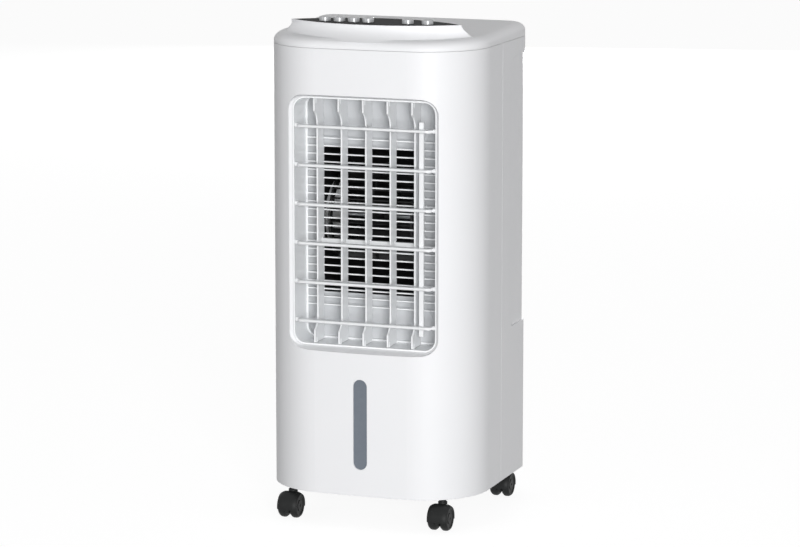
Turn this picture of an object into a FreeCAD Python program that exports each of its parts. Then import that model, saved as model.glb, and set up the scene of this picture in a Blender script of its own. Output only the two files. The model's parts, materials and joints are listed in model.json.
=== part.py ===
import FreeCAD, Part

import math
import os
import re

import Sketcher
from FreeCAD import Placement, Rotation, Vector

# An upright evaporative cooler on four twin-wheel casters.
# Millimetres. +Z is up and the floor is z = 0. The bowed front faces -Y. x = 0 is the middle of the case.
# A draught enters through the rear grille, crosses the wet pad and leaves through the vanes and louvres.

# A size that starts with = is tied to other sizes by the sheet.
SIZES = {
    # case
    "body_width": 250.0,
    "body_depth": 213.0,
    "bow_radius": 1049.0,
    "front_corner": 74.5,
    "rear_corner": 12.0,
    "wall": 2.5,
    "ground_gap": "=wheel_diameter + 7",
    "shell_height": 500.0,
    "housing_split": 16.0,
    "seam_gap": 0.5,
    "fit_gap": 0.3,
    # recess of the rear housing, heights from the case's bottom edge
    "recess_depth": 2.2,
    "recess_front": "=body_depth / 2 - 61.5",
    "recess_bottom": "=cartridge_bottom - 4",
    "recess_top": "=cartridge_bottom + cartridge_height + 4",
    # air outlet in the front, heights from the case's bottom edge
    "outlet_width": "=body_width - 74",
    "outlet_height": 287.5,
    "outlet_bottom": 161.5,
    "outlet_radius": 18.0,
    "lip_step": 12.0,
    "lip_depth": 14.7,
    "lip_fall": 3.0,
    "frame_width": "=outlet_width - 10",
    "frame_height": "=outlet_height - 11.7",
    "frame_radius": 13.0,
    "frame_wall": 2.5,
    "frame_depth": 36.0,
    # louvres
    "louvre_top": "=outlet_bottom + outlet_height - 37",
    "louvre_pitch": "=(outlet_height - 68.5) / 5",
    "louvre_thick": 3.4,
    "louvre_front": 8.7,
    "louvre_rear": 5.0,
    "louvre_inset": 18.0,
    "pivot_diameter": 3.0,
    "pivot_play": 0.1,
    "boss_diameter": 5.0,
    "tie_x": "=frame_width / 2 - 18",
    "tie_width": 5.2,
    "tie_thick": 3.0,
    "tie_arm": 3.6,
    # vanes, their middle a little left of the case's
    "vane_middle": -2.6,
    "vane_pitch": "=(frame_width - 22) / 5",
    "vane_thick": 1.8,
    "vane_inset": 22.0,
    "vane_front": 5.0,
    "vane_rear": 23.0,
    "vane_lobe": 14.0,
    "link_arm": 20.0,
    "link_level": "=outlet_bottom + 118.5",
    # guard, duct and blower
    "slat_pitch": 9.0,
    "slat_thick": 1.4,
    "guard_thick": 2.7,
    "duct_depth": 14.7,
    "scroll_x": -10.0,
    "scroll_width": 116.0,
    "scroll_height": 165.6,
    "scroll_level": "=outlet_bottom + outlet_height / 2 - 5.45",
    "scroll_wall": 2.0,
    "wheel_radius": "=scroll_height / 2 - 30.8",
    "wheel_width": "=scroll_width - 16",
    "blade_depth": 8.0,
    "shaft_diameter": 6.0,
    "motor_radius": 30.0,
    "motor_length": 36.0,
    # window
    "window_width": 16.2,
    "window_bottom": 30.1,
    "window_height": 102.5,
    # water side
    "tank_width": "=body_width - 54",
    "tank_front": "=body_depth / 2 - 37",
    "tank_bottom": 16.0,
    "tank_height": 135.0,
    "cartridge_width": "=body_width - 54",
    "cartridge_bottom": "=tank_bottom + tank_height + 26",
    "cartridge_height": "=shell_height - cartridge_bottom - 22",
    "pad_depth": 20.0,
    # cover and controls, heights from the cover's seam
    "deck_front": 12.0,
    "deck_rear": 17.5,
    "shoulder_radius": 10.0,
    "pod_flare": 13.0,
    "pod_tail": 30.0,
    "panel_rise": 26.0,
    "panel_half": "=body_width / 2 - 27",
    "panel_tip": "=52.5 - body_depth / 2",
    "panel_front": "=18.5 - body_depth / 2",
    "panel_rear": "=92.5 - body_depth / 2",
    "panel_thick": 3.0,
    "button_diameter": 13.0,
    "button_rise": 4.8,
    "button_travel": 2.5,
    "button_gap": 0.3,
    "button_pitch": "=button_diameter + 4",
    # casters
    "wheel_diameter": 28.0,
    "wheel_thick": 9.0,
    "wheel_gap": 5.0,
    "stem_diameter": 8.0,
    "trail": 7.0,
    "front_caster_x": "=body_width / 2 - 35.5",
    "front_caster_y": "=23.5 - body_depth / 2",
    "rear_caster_x": "=body_width / 2 - 22",
    "rear_caster_y": "=body_depth / 2 - 24.5",
}

LOUVRES = 6
VANES = 5

doc = FreeCAD.newDocument("evaporative_cooler")
sheet = doc.addObject("Spreadsheet::Sheet", "Sizes")
for row, name in enumerate(SIZES, start=1):
    sheet.set(f"A{row}", name)
    sheet.setAlias(f"B{row}", name)
for row, value in enumerate(SIZES.values(), start=1):
    sheet.set(f"B{row}", str(value))
doc.recompute()


class Values:
    """Reads a driving size from the sheet by its name."""

    def __getattr__(self, name):
        return float(sheet.get(name))


S = Values()
NODES = {}

# ---------------------------------------------------------------- worked-out places
BOTTOM = S.ground_gap
SEAM = BOTTOM + S.shell_height
FRONT = -S.body_depth / 2
BACK = S.body_depth / 2
OUTLET_Z = BOTTOM + S.outlet_bottom + S.outlet_height / 2
LIP_BACK = FRONT + S.lip_depth
FRAME_FRONT = LIP_BACK + S.fit_gap
FRAME_BACK = FRAME_FRONT + S.frame_depth
LOUVRE_Y = FRONT + S.louvre_inset
VANE_Y = FRONT + S.vane_inset
GUARD_BACK = FRAME_BACK + S.fit_gap + S.guard_thick
DUCT_FRONT = GUARD_BACK + S.fit_gap
DUCT_BACK = DUCT_FRONT + S.duct_depth
SCROLL_FRONT = DUCT_BACK + S.fit_gap
SCROLL_Z = BOTTOM + S.scroll_level
ALONG_X = Rotation(Vector(0, 1, 0), 90)

# four speed buttons around one middle, then swing and cool around another
SPEED_MIDDLE = -33.5
EXTRA_MIDDLE = 50.05
EXTRA_HALF = (S.button_pitch + 5.9) / 2
BUTTONS = {
    "off": SPEED_MIDDLE - 1.5 * S.button_pitch,
    "low": SPEED_MIDDLE - 0.5 * S.button_pitch,
    "mid": SPEED_MIDDLE + 0.5 * S.button_pitch,
    "high": SPEED_MIDDLE + 1.5 * S.button_pitch,
    "swing": EXTRA_MIDDLE - EXTRA_HALF,
    "cool": EXTRA_MIDDLE + EXTRA_HALF,
}
BUTTON_Y = S.panel_tip - 3.0


# ---------------------------------------------------------------- small builders
def bound(text):
    """The expression with each size name led by the sheet's name."""
    return re.sub(r"\b[a-z]\w*_\w+\b|\b(?:wall|trail)\b", lambda found: "Sizes." + found.group(), str(text))


def move(item, corner):
    """Binds an object's place to three expressions."""
    for axis, text in zip("xyz", corner):
        item.setExpression("Placement.Base." + axis, bound(text))


def box(label, sizes, corner):
    """A Part::Box whose sizes and lowest corner are expressions."""
    item = doc.addObject("Part::Box", label)
    for name, text in zip(("Length", "Width", "Height"), sizes):
        item.setExpression(name, bound(text))
    move(item, corner)
    return item


def rod(label, diameter, length, start, turn=Rotation()):
    """A Part::Cylinder with its diameter, length and start given as expressions."""
    item = doc.addObject("Part::Cylinder", label)
    item.Placement = Placement(Vector(), turn)
    item.setExpression("Radius", bound(f"({diameter}) / 2"))
    item.setExpression("Height", bound(length))
    move(item, start)
    return item


def feature(label, shape):
    """A Part::Feature that holds a shape built from the sheet's sizes."""
    item = doc.addObject("Part::Feature", label)
    item.Shape = shape
    return item


def keep(node, item):
    """Marks an object as a finished piece, named for its file."""
    item.Label = node
    NODES[node] = item
    return item


def new_body(label, place=("0", "0", "0")):
    """A PartDesign body set at three expressions."""
    item = doc.addObject("PartDesign::Body", label)
    move(item, place)
    return item


def sketch(owner, name, role, curves):
    """A sketch on one of the body's own origin planes."""
    item = owner.newObject("Sketcher::SketchObject", name)
    origin = next(part for part in owner.Origin.OriginFeatures if part.Role == role)
    item.AttachmentSupport = [(origin, "")]
    item.MapMode = "FlatFace"
    for curve in curves:
        item.addGeometry(curve, False)
    return item


def pad(owner, name, profile, length, symmetric=True):
    """Pads a sketch by an expression."""
    item = owner.newObject("PartDesign::Pad", name)
    item.Profile = profile
    item.setExpression("Length", bound(length))
    item.SideType = "Symmetric" if symmetric else "One side"
    return item


def turned(node, outline, place, turn=Rotation()):
    """A body turned about its own Z axis from a closed outline of (radius, height) points."""
    owner = doc.addObject("PartDesign::Body", node)
    owner.Placement = Placement(Vector(), turn)
    move(owner, place)
    profile = sketch(owner, node + "_outline", "XZ_Plane", polygon(outline))
    item = owner.newObject("PartDesign::Revolution", node + "_turn")
    item.Profile = profile
    item.ReferenceAxis = (profile, ["V_Axis"])
    item.Angle = 360
    return owner


def polygon(points):
    """Closed line segments through flat points."""
    ends = points[1:] + points[:1]
    return [Part.LineSegment(Vector(*a, 0), Vector(*b, 0)) for a, b in zip(points, ends)]


def circle(across, up, diameter):
    """A flat circle for a sketch."""
    return Part.Circle(Vector(across, up, 0), Vector(0, 0, 1), diameter / 2)


def diameter_bound(profile, index, text):
    """Ties a sketched circle's diameter to an expression."""
    number = profile.addConstraint(Sketcher.Constraint("Diameter", index, profile.Geometry[index].Radius * 2))
    profile.setExpression(f"Constraints[{number}]", bound(text))


def arc(start, middle, end):
    """An arc edge through three points."""
    return Part.Arc(Vector(*start), Vector(*middle), Vector(*end)).toShape()


def line(start, end):
    """A straight edge."""
    return Part.LineSegment(Vector(*start), Vector(*end)).toShape()


def case_outline(inset, height):
    """The case's plan: bowed front, large front and small rear corners, all inset by the same amount."""
    half = S.body_width / 2
    bow_y = FRONT + S.bow_radius
    corner_x = half - S.front_corner
    corner_y = bow_y - math.sqrt((S.bow_radius - S.front_corner) ** 2 - corner_x ** 2)
    lean = math.atan2(corner_x, bow_y - corner_y)
    middle = (lean + math.pi / 2) / 2
    bow = S.bow_radius - inset
    corner = S.front_corner - inset
    rear = max(S.rear_corner - inset, 1.0)
    rear_x = half - inset - rear
    rear_y = BACK - inset - rear
    slant = math.sqrt(0.5) * rear

    def right_and_left(side):
        join = (side * bow * math.sin(lean), bow_y - bow * math.cos(lean), height)
        knee = (side * (corner_x + corner * math.sin(middle)), corner_y - corner * math.cos(middle), height)
        flank = (side * (half - inset), corner_y, height)
        rear_side = (side * (half - inset), rear_y, height)
        rear_knee = (side * (rear_x + slant), rear_y + slant, height)
        rear_end = (side * rear_x, BACK - inset, height)
        return join, knee, flank, rear_side, rear_knee, rear_end

    right = right_and_left(1)
    left = right_and_left(-1)
    return Part.Wire([
        arc(left[0], (0, bow_y - bow, height), right[0]),
        arc(right[0], right[1], right[2]),
        line(right[2], right[3]),
        arc(right[3], right[4], right[5]),
        line(right[5], left[5]),
        arc(left[5], left[4], left[3]),
        line(left[3], left[2]),
        arc(left[2], left[1], left[0]),
    ])


def case_block(inset, low, high):
    """The case's plan as a solid from one height to another."""
    return Part.Face(case_outline(inset, low)).extrude(Vector(0, 0, high - low))


def slab(low, high):
    """A box between two corners."""
    size = [b - a for a, b in zip(low, high)]
    return Part.makeBox(*size, Vector(*low))


def tube(diameter, start, length, direction):
    """A solid cylinder."""
    return Part.makeCylinder(diameter / 2, length, Vector(*start), Vector(*direction))


def round_window(width, height, radius, middle_z, y):
    """A rounded rectangle standing at depth y."""
    right, top = width / 2, middle_z + height / 2
    left, low = -right, middle_z - height / 2
    bend = radius * (1 - math.sqrt(0.5))
    return Part.Wire([
        line((left + radius, y, low), (right - radius, y, low)),
        arc((right - radius, y, low), (right - bend, y, low + bend), (right, y, low + radius)),
        line((right, y, low + radius), (right, y, top - radius)),
        arc((right, y, top - radius), (right - bend, y, top - bend), (right - radius, y, top)),
        line((right - radius, y, top), (left + radius, y, top)),
        arc((left + radius, y, top), (left + bend, y, top - bend), (left, y, top - radius)),
        line((left, y, top - radius), (left, y, low + radius)),
        arc((left, y, low + radius), (left + bend, y, low + bend), (left + radius, y, low)),
    ])


def window_block(width, height, radius, middle_z, front, back):
    """A rounded rectangle pushed from one depth to another."""
    return Part.Face(round_window(width, height, radius, middle_z, front)).extrude(Vector(0, back - front, 0))


def frame_block(growth, front, back):
    """The outlet frame's inner opening, grown all round, as a solid."""
    return window_block(
        S.frame_width + 2 * growth, S.frame_height + 2 * growth, S.frame_radius + growth,
        OUTLET_Z, front, back)


# ---------------------------------------------------------------- case
# Screws from below hold the tray to a boss in each corner: (x, y, direction of the rib to the wall).
SCREW_HEAD = 7.0
SCREW_SHANK = 3.0
BOSS_WIDE = 9.0
BOSS_TALL = 22.0
PLATE_LOW = BOTTOM + 1.0
PLATE_HIGH = PLATE_LOW + 3.0


def screw_places():
    """The plan places of the four case screws and the way to the wall from each."""
    front_x = S.front_caster_x - 40
    rear_x = S.body_width / 2 - 17
    front_y, rear_y = FRONT + 14, BACK - 50.5
    return [(-front_x, front_y, (0, -1)), (front_x, front_y, (0, -1)),
            (-rear_x, rear_y, (-1, 0)), (rear_x, rear_y, (1, 0))]


def screw_boss(x, y, way):
    """A boss with a pilot hole and a rib that runs to the wall."""
    low = PLATE_HIGH + 0.2
    high = low + BOSS_TALL
    reach = 17.0
    tip = (x + way[0] * reach, y + way[1] * reach)
    rib = slab((min(x, tip[0]) - abs(way[1]), min(y, tip[1]) - abs(way[0]), low),
               (max(x, tip[0]) + abs(way[1]), max(y, tip[1]) + abs(way[0]), high))
    boss = tube(BOSS_WIDE, (x, y, low), BOSS_TALL, (0, 0, 1)).fuse(rib)
    boss = boss.common(case_block(S.wall / 2, low, high))
    return boss, tube(SCREW_SHANK, (x, y, low - 1), 17, (0, 0, 1))


def front_housing():
    """The bowed front shell with the rolled lip of the air outlet and the slot of the water window."""
    split = S.housing_split - S.seam_gap / 2
    shell = case_block(0, BOTTOM, SEAM).cut(case_block(S.wall, BOTTOM - 1, SEAM + 1))
    grow = 2 * S.wall
    collar = window_block(S.outlet_width + grow, S.outlet_height + grow, S.outlet_radius + S.wall, OUTLET_Z,
                          FRONT - 1, LIP_BACK)
    shell = shell.fuse(collar.common(case_block(0, BOTTOM, SEAM)))
    knee = FRONT + S.lip_step
    brow = round_window(S.outlet_width, S.outlet_height, S.outlet_radius, OUTLET_Z, FRONT - 1)
    waist = round_window(S.outlet_width, S.outlet_height - 2 * S.lip_fall, S.outlet_radius - 2,
                         OUTLET_Z, knee)
    reveal = 1.8
    throat = round_window(S.frame_width + 2 * reveal, S.frame_height + 2 * reveal, S.frame_radius + reveal,
                          OUTLET_Z, LIP_BACK)
    mouth = Part.makeLoft([brow, waist], True, True).fuse(Part.makeLoft([waist, throat], True, True))
    slot = window_slot(0, FRONT - 1, FRONT + S.wall + 2)
    shell = shell.cut(mouth).cut(slot)
    shell = shell.common(slab((-300, -300, BOTTOM), (300, split, SEAM)))
    for place in screw_places()[:2]:
        boss, pilot = screw_boss(*place)
        shell = shell.fuse(boss).cut(pilot)
    return shell.removeSplitter()


def window_slot(growth, front, back):
    """The upright slot of the water window, grown all round, as a solid."""
    width = S.window_width + 2 * growth
    height = S.window_height + 2 * growth
    middle = BOTTOM + S.window_bottom + S.window_height / 2
    return window_block(width, height, width / 2 - 0.01, middle, front, back)


def recess_block():
    """The part of the rear housing that steps in, seen from the side, across the whole width."""
    y = S.recess_front
    low, high = BOTTOM + S.recess_bottom, BOTTOM + S.recess_top
    reach = S.body_width
    outline = Part.Wire([
        line((-reach, y, low + 16), (-reach, y, high - 14)),
        arc((-reach, y, high - 14), (-reach, y + 5, high - 5), (-reach, y + 15, high - 1)),
        line((-reach, y + 15, high - 1), (-reach, BACK + 5, high)),
        line((-reach, BACK + 5, high), (-reach, BACK + 5, low)),
        line((-reach, BACK + 5, low), (-reach, y + 8, low)),
        line((-reach, y + 8, low), (-reach, y, low + 16)),
    ])
    return Part.Face(outline).extrude(Vector(2 * reach, 0, 0))


def rear_housing():
    """The rear shell: stepped in around the intake, open for the cartridge and for the tank."""
    split = S.housing_split + S.seam_gap / 2
    step = recess_block()
    shell = case_block(0, BOTTOM, SEAM).cut(case_block(S.wall, BOTTOM - 1, SEAM + 1))
    liner = case_block(S.recess_depth, BOTTOM, SEAM)
    liner = liner.cut(case_block(S.recess_depth + S.wall, BOTTOM - 1, SEAM + 1))
    wide_step = step.copy()
    wide_step.translate(Vector(0, -S.wall, 0))
    shell = shell.fuse(liner.common(step.fuse(wide_step)))
    shell = shell.cut(step.cut(case_block(S.recess_depth, BOTTOM - 1, SEAM + 1)))
    shell = shell.common(slab((-300, split, BOTTOM), (300, 300, SEAM)))
    cartridge = opening_box(S.cartridge_width, S.cartridge_bottom, S.cartridge_height, 0.5)
    tank = opening_box(S.tank_width, S.tank_bottom - 1.5, S.tank_height + 1.5, 0.5)
    shell = shell.cut(cartridge).cut(tank).cut(tube(GLAND_WIDE, (GLAND_X, BACK - 9, GLAND_Z), 12, (0, 1, 0)))
    for place in screw_places()[2:]:
        boss, pilot = screw_boss(*place)
        shell = shell.fuse(boss).cut(pilot)
    return shell.removeSplitter()


def opening_box(width, bottom, height, play):
    """A rectangular way through the rear wall."""
    return slab((-width / 2 - play, BACK - 12, BOTTOM + bottom - play),
                (width / 2 + play, BACK + 12, BOTTOM + bottom + height + play))


GLAND_X = S.tank_width / 2 - 18
GLAND_Z = BOTTOM + (S.tank_bottom + S.tank_height + S.cartridge_bottom) / 2
GLAND_WIDE = 12.0


def caster_places():
    """Name, stem x, stem y and the way the wheels trail, for each caster."""
    corners = [
        ("front", S.front_caster_x, S.front_caster_y, -1),
        ("rear", S.rear_caster_x, S.rear_caster_y, 1)]
    return [(f"{end}_{side}", sign * x, y, way) for end, x, y, way in corners
            for side, sign in (("left", -1), ("right", 1))]


SOCKET_WIDE = 15.0
SOCKET_HIGH = BOTTOM + 15.0
STEM_TOP = SOCKET_HIGH - 3.0
STEM_PLAY = 0.1
RAIL_X = 45.0


def base_tray():
    """The floor of the case: rim, caster sockets, two tank runners and screw holes."""
    inset = S.wall + S.fit_gap
    tray = case_block(inset, PLATE_LOW, PLATE_LOW + 11).cut(case_block(inset + 2, PLATE_HIGH, PLATE_LOW + 12))
    runner_high = BOTTOM + S.tank_bottom - 0.2
    for side in (-1, 1):
        x = side * RAIL_X
        tray = tray.fuse(slab((x - 3, -S.tank_front, PLATE_LOW + 1), (x + 3, BACK - 12, runner_high)))
    for _, x, y, _ in caster_places():
        socket = tube(SOCKET_WIDE, (x, y, PLATE_LOW), SOCKET_HIGH - PLATE_LOW, (0, 0, 1))
        tray = tray.fuse(socket.common(case_block(inset, PLATE_LOW, SOCKET_HIGH)))
        stem_hole = tube(S.stem_diameter + 2 * STEM_PLAY, (x, y, BOTTOM), STEM_TOP - BOTTOM + 1, (0, 0, 1))
        tray = tray.cut(stem_hole)
    for x, y, way in screw_places():
        tray = tray.cut(tube(SCREW_SHANK + 0.4, (x, y, BOTTOM - 1), 30, (0, 0, 1)))
        reach_x, reach_y = x + 20 * way[0], y + 20 * way[1]
        tray = tray.cut(slab((min(x - 8, reach_x), min(y - 8, reach_y), PLATE_HIGH),
                             (max(x + 8, reach_x), max(y + 8, reach_y), PLATE_HIGH + 20)))
    return tray.removeSplitter()


def case_screws():
    """Four pan-head screws that hold the tray up against the bosses."""
    screws = []
    for x, y, _ in screw_places():
        head = tube(SCREW_HEAD, (x, y, PLATE_LOW - 2.0), 2.0, (0, 0, 1))
        slot = slab((x - 2.5, y - 0.5, PLATE_LOW - 3), (x + 2.5, y + 0.5, PLATE_LOW - 1.2))
        shank = tube(SCREW_SHANK, (x, y, PLATE_LOW), 16, (0, 0, 1))
        screws.append(head.fuse(shank).cut(slot))
    return Part.makeCompound(screws)


keep("front_housing", feature("front_shell", front_housing()))
keep("rear_housing", feature("rear_shell", rear_housing()))
keep("base_tray", feature("tray", base_tray()))
keep("case_screws", feature("screws", case_screws()))


# ---------------------------------------------------------------- top cover and controls
def lens_outline(half, front, rear, height):
    """A pointed oval between a front and a rear arc, its tips on the panel's tip line."""
    left, right = (-half, S.panel_tip, height), (half, S.panel_tip, height)
    return Part.Wire([arc(left, (0, front, height), right), arc(right, (0, rear, height), left)])


def pod(shrink, foot, top):
    """The raised pod under the panel: a pointed oval whose flanks curve out to the deck in four steps."""
    sections = []
    for share in (0.0, 0.15, 0.4, 0.7, 1.0):
        height = SEAM + foot + (top - foot) * share
        flare = S.pod_flare * (1 - share) ** 2 + 1.5 - shrink
        rear = S.panel_rear + 2 + S.pod_tail * (1 - share) - shrink
        sections.append(lens_outline(S.panel_half + 1.2 * flare, S.panel_front - flare, rear, height))
    body = Part.makeLoft(sections[:2], True, True)
    for lower, upper in zip(sections[1:], sections[2:]):
        body = body.fuse(Part.makeLoft([lower, upper], True, True))
    return body


def lens(growth, low, high):
    """The pointed panel's plan, grown all round, as a solid."""
    outline = lens_outline(S.panel_half + 2 * growth, S.panel_front - growth, S.panel_rear + growth, low)
    return Part.Face(outline).extrude(Vector(0, 0, high - low))


PANEL_LOW = SEAM + S.panel_rise - S.panel_thick
SHELF_LOW = PANEL_LOW - 3.0
BOARD_LOW = SEAM + 9.0
BOARD_THICK = 1.6
BOARD_STUDS = (BUTTONS["off"] - 13, 15.0, BUTTONS["cool"] + 12.5)
FLANGE_TOP = SHELF_LOW - S.button_gap
FLANGE_THICK = 1.5
STEM_LOW = FLANGE_TOP - FLANGE_THICK - 3.2
BUTTON_HOLE = S.button_diameter + 2 * S.button_gap


def top_cover():
    """The lid: rounded shoulders, a flared deck, a lens-shaped seat for the panel and a locating rim."""
    low = SEAM + S.seam_gap
    shoulder = case_block(0, low, SEAM + S.deck_rear + 10)
    slope = math.degrees(math.atan2(S.deck_rear - S.deck_front, S.body_depth))
    above = slab((-200, 0, 0), (200, 300, 60))
    above.rotate(Vector(), Vector(1, 0, 0), slope)
    above.translate(Vector(0, FRONT, SEAM + S.deck_front))
    shoulder = shoulder.cut(above)
    lowest = SEAM + S.deck_front - 0.5
    top_edges = [edge for edge in shoulder.Edges if edge.BoundBox.ZMin > lowest]
    shoulder = shoulder.makeFillet(S.shoulder_radius, top_edges)
    lid = shoulder.fuse(pod(0, S.deck_front - 2, S.panel_rise))
    hollow = case_block(2 * S.wall, low - 1, SEAM + S.deck_front - 3.5)
    lid = lid.cut(hollow).cut(pod(3, S.deck_front - 4.5, SHELF_LOW - SEAM))
    lid = lid.cut(lens(S.fit_gap / 2, PANEL_LOW, PANEL_LOW + 20))
    rim_inset = S.wall + S.fit_gap
    rim = case_block(rim_inset, SEAM - 5, SEAM + 4).cut(case_block(rim_inset + 1.8, SEAM - 6, SEAM + 5))
    lid = lid.fuse(rim)
    for x in BUTTONS.values():
        lid = lid.cut(tube(BUTTON_HOLE, (x, BUTTON_Y, SHELF_LOW - 1), 10, (0, 0, 1)))
    stud_low = BOARD_LOW + BOARD_THICK
    for x in BOARD_STUDS:
        lid = lid.fuse(tube(6, (x, BUTTON_Y, stud_low), SHELF_LOW - stud_low + 0.5, (0, 0, 1)))
    return lid.removeSplitter()


def control_panel():
    """The dark lens-shaped plate with a round hole for each button."""
    plate = lens(0, PANEL_LOW, PANEL_LOW + S.panel_thick)
    for x in BUTTONS.values():
        plate = plate.cut(tube(BUTTON_HOLE, (x, BUTTON_Y, PANEL_LOW - 1), 10, (0, 0, 1)))
    return plate


def button(node, x):
    """A turned push button: domed cap, flange that holds it under the shelf, and stem."""
    radius = S.button_diameter / 2
    top = SEAM + S.panel_rise + S.button_rise
    stem, flange = 2.0, radius + 1.2
    under = FLANGE_TOP - FLANGE_THICK
    outline = [(0, STEM_LOW), (stem, STEM_LOW), (stem, under), (flange, under), (flange, FLANGE_TOP),
               (radius, FLANGE_TOP), (radius, top - 1.2), (radius - 0.5, top - 0.4), (radius - 1.4, top),
               (0, top)]
    return keep(node, turned(node + "_body", outline, (x, BUTTON_Y, 0)))


keep("top_cover", feature("lid", top_cover()))
keep("control_panel", feature("panel", control_panel()))
for name, x in BUTTONS.items():
    button("button_" + name, x)

SWITCH_WIDE = 6.0
SWITCH_GAP = 0.2
board_ends = (BOARD_STUDS[0] - 4, BOARD_STUDS[-1] + 4)
keep("switch_board", box("board", (board_ends[1] - board_ends[0], 16, BOARD_THICK),
                         (board_ends[0], BUTTON_Y - 8, BOARD_LOW)))


def switches():
    """One tact switch under each button: square base and round plunger."""
    found = []
    low = BOARD_LOW + BOARD_THICK
    top = STEM_LOW - S.button_travel - SWITCH_GAP
    for x in BUTTONS.values():
        half = SWITCH_WIDE / 2
        base = slab((x - half, BUTTON_Y - half, low), (x + half, BUTTON_Y + half, (low + top) / 2))
        found.append(base.fuse(tube(3, (x, BUTTON_Y, low), top - low, (0, 0, 1))))
    return Part.makeCompound(found)


keep("tact_switches", feature("switch_set", switches()))


# ---------------------------------------------------------------- outlet frame, louvres and vanes
TIE_PIN = 1.6
TIE_PLAY = 0.16
LINK_PIN = 2.0
LINK_PLAY = 0.16
LINK_TALL = 5.0
LINK_THICK = 4.0
LINK_Z = BOTTOM + S.link_level
LOBE_FALL = 12.0
MOTOR_WIDE = 27.0
MOTOR_DROP = 8.6
MOTOR_TALL = 19.0
MOTOR_BORE_DEEP = 7.0
FRAME_LOW = OUTLET_Z - S.frame_height / 2


def outlet_frame():
    """The box tube that carries the pivots of the louvres and the vanes."""
    frame = frame_block(S.frame_wall, FRAME_FRONT, FRAME_BACK)
    frame = frame.cut(frame_block(0, FRAME_FRONT - 1, FRAME_BACK + 1))
    hole = S.pivot_diameter + S.pivot_play
    reach = S.frame_width + 40
    for level in louvre_levels():
        frame = frame.cut(tube(hole, (-reach / 2, LOUVRE_Y, level), reach, (1, 0, 0)))
    tall = S.frame_height + 40
    for x in vane_places():
        frame = frame.cut(tube(hole, (x, VANE_Y, OUTLET_Z - tall / 2), tall, (0, 0, 1)))
    return frame


def louvre_levels():
    """Pivot heights of the louvres, from the top."""
    return [BOTTOM + S.louvre_top - index * S.louvre_pitch for index in range(LOUVRES)]


def vane_places():
    """Pivot x of the vanes, from the left."""
    return [S.vane_middle + (index - (VANES - 1) / 2) * S.vane_pitch for index in range(VANES)]


def louvre_plan():
    """A louvre seen from above, about its pivot: rounded front ends and the notch of the tie bar."""
    half = S.frame_width / 2 - 3.2
    bend = 8.0
    front, rear = -S.louvre_front, S.louvre_rear
    left, right = S.tie_x - S.tie_width / 2 - 0.6, S.tie_x + S.tie_width / 2 + 0.6
    notch = 0.8
    curves = polygon([(left, rear), (-half, rear), (-half, front + bend), (-half + bend, front),
                      (half - bend, front), (half, front + bend), (half, rear), (right, rear), (right, notch),
                      (left, notch)])
    near = bend * (1 - math.sqrt(0.5))
    curves[2] = Part.Arc(Vector(-half, front + bend, 0), Vector(-half + near, front + near, 0),
                         Vector(-half + bend, front, 0))
    curves[4] = Part.Arc(Vector(half - bend, front, 0), Vector(half - near, front + near, 0),
                         Vector(half, front + bend, 0))
    return curves


def louvre_section(x):
    """A louvre's section: a round nose that thins towards the rear, as a face across x."""
    nose = S.louvre_thick / 2
    tail = 0.7
    front, rear = -S.louvre_front, S.louvre_rear
    return Part.Face(Part.Wire([
        line((x, rear, tail), (x, front + nose, nose)),
        arc((x, front + nose, nose), (x, front, 0), (x, front + nose, -nose)),
        line((x, front + nose, -nose), (x, rear, -tail)),
        line((x, rear, -tail), (x, rear, tail)),
    ]))


def louvre(level):
    """A louvre as a solid: blade, end bosses, pivot pins and the small pin in the notch."""
    reach = S.frame_width
    plan = Part.Face(Part.Wire([curve.toShape() for curve in louvre_plan()])).extrude(Vector(0, 0, 20))
    plan.translate(Vector(0, 0, -10))
    blade = louvre_section(-reach / 2).extrude(Vector(reach, 0, 0)).common(plan)
    blade.translate(Vector(0, LOUVRE_Y, level))
    blade_end = S.frame_width / 2 - 3.4
    boss_end = S.frame_width / 2 - S.fit_gap
    pin_end = S.frame_width / 2 + S.frame_wall - 0.3
    for side in (-1, 1):
        start = (side * blade_end, LOUVRE_Y, level)
        blade = blade.fuse(tube(S.boss_diameter, start, boss_end - blade_end, (side, 0, 0)))
        blade = blade.fuse(tube(S.pivot_diameter, start, pin_end - blade_end, (side, 0, 0)))
    pin_start = (S.tie_x - S.tie_width / 2 - 1.5, LOUVRE_Y + S.tie_arm, level)
    return blade.fuse(tube(TIE_PIN, pin_start, S.tie_width + 3, (1, 0, 0))).removeSplitter()


def louvre_tie_bar():
    """The upright bar that makes the louvres tilt as one."""
    half = S.tie_width / 2
    levels = louvre_levels()
    y = LOUVRE_Y + S.tie_arm
    bar = slab((S.tie_x - half, y - S.tie_thick / 2, levels[-1] - 11),
               (S.tie_x + half, y + S.tie_thick / 2, levels[0] + 9))
    for level in levels:
        bar = bar.cut(tube(TIE_PIN + TIE_PLAY, (S.tie_x - half - 1, y, level), S.tie_width + 2, (1, 0, 0)))
    return bar


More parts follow.
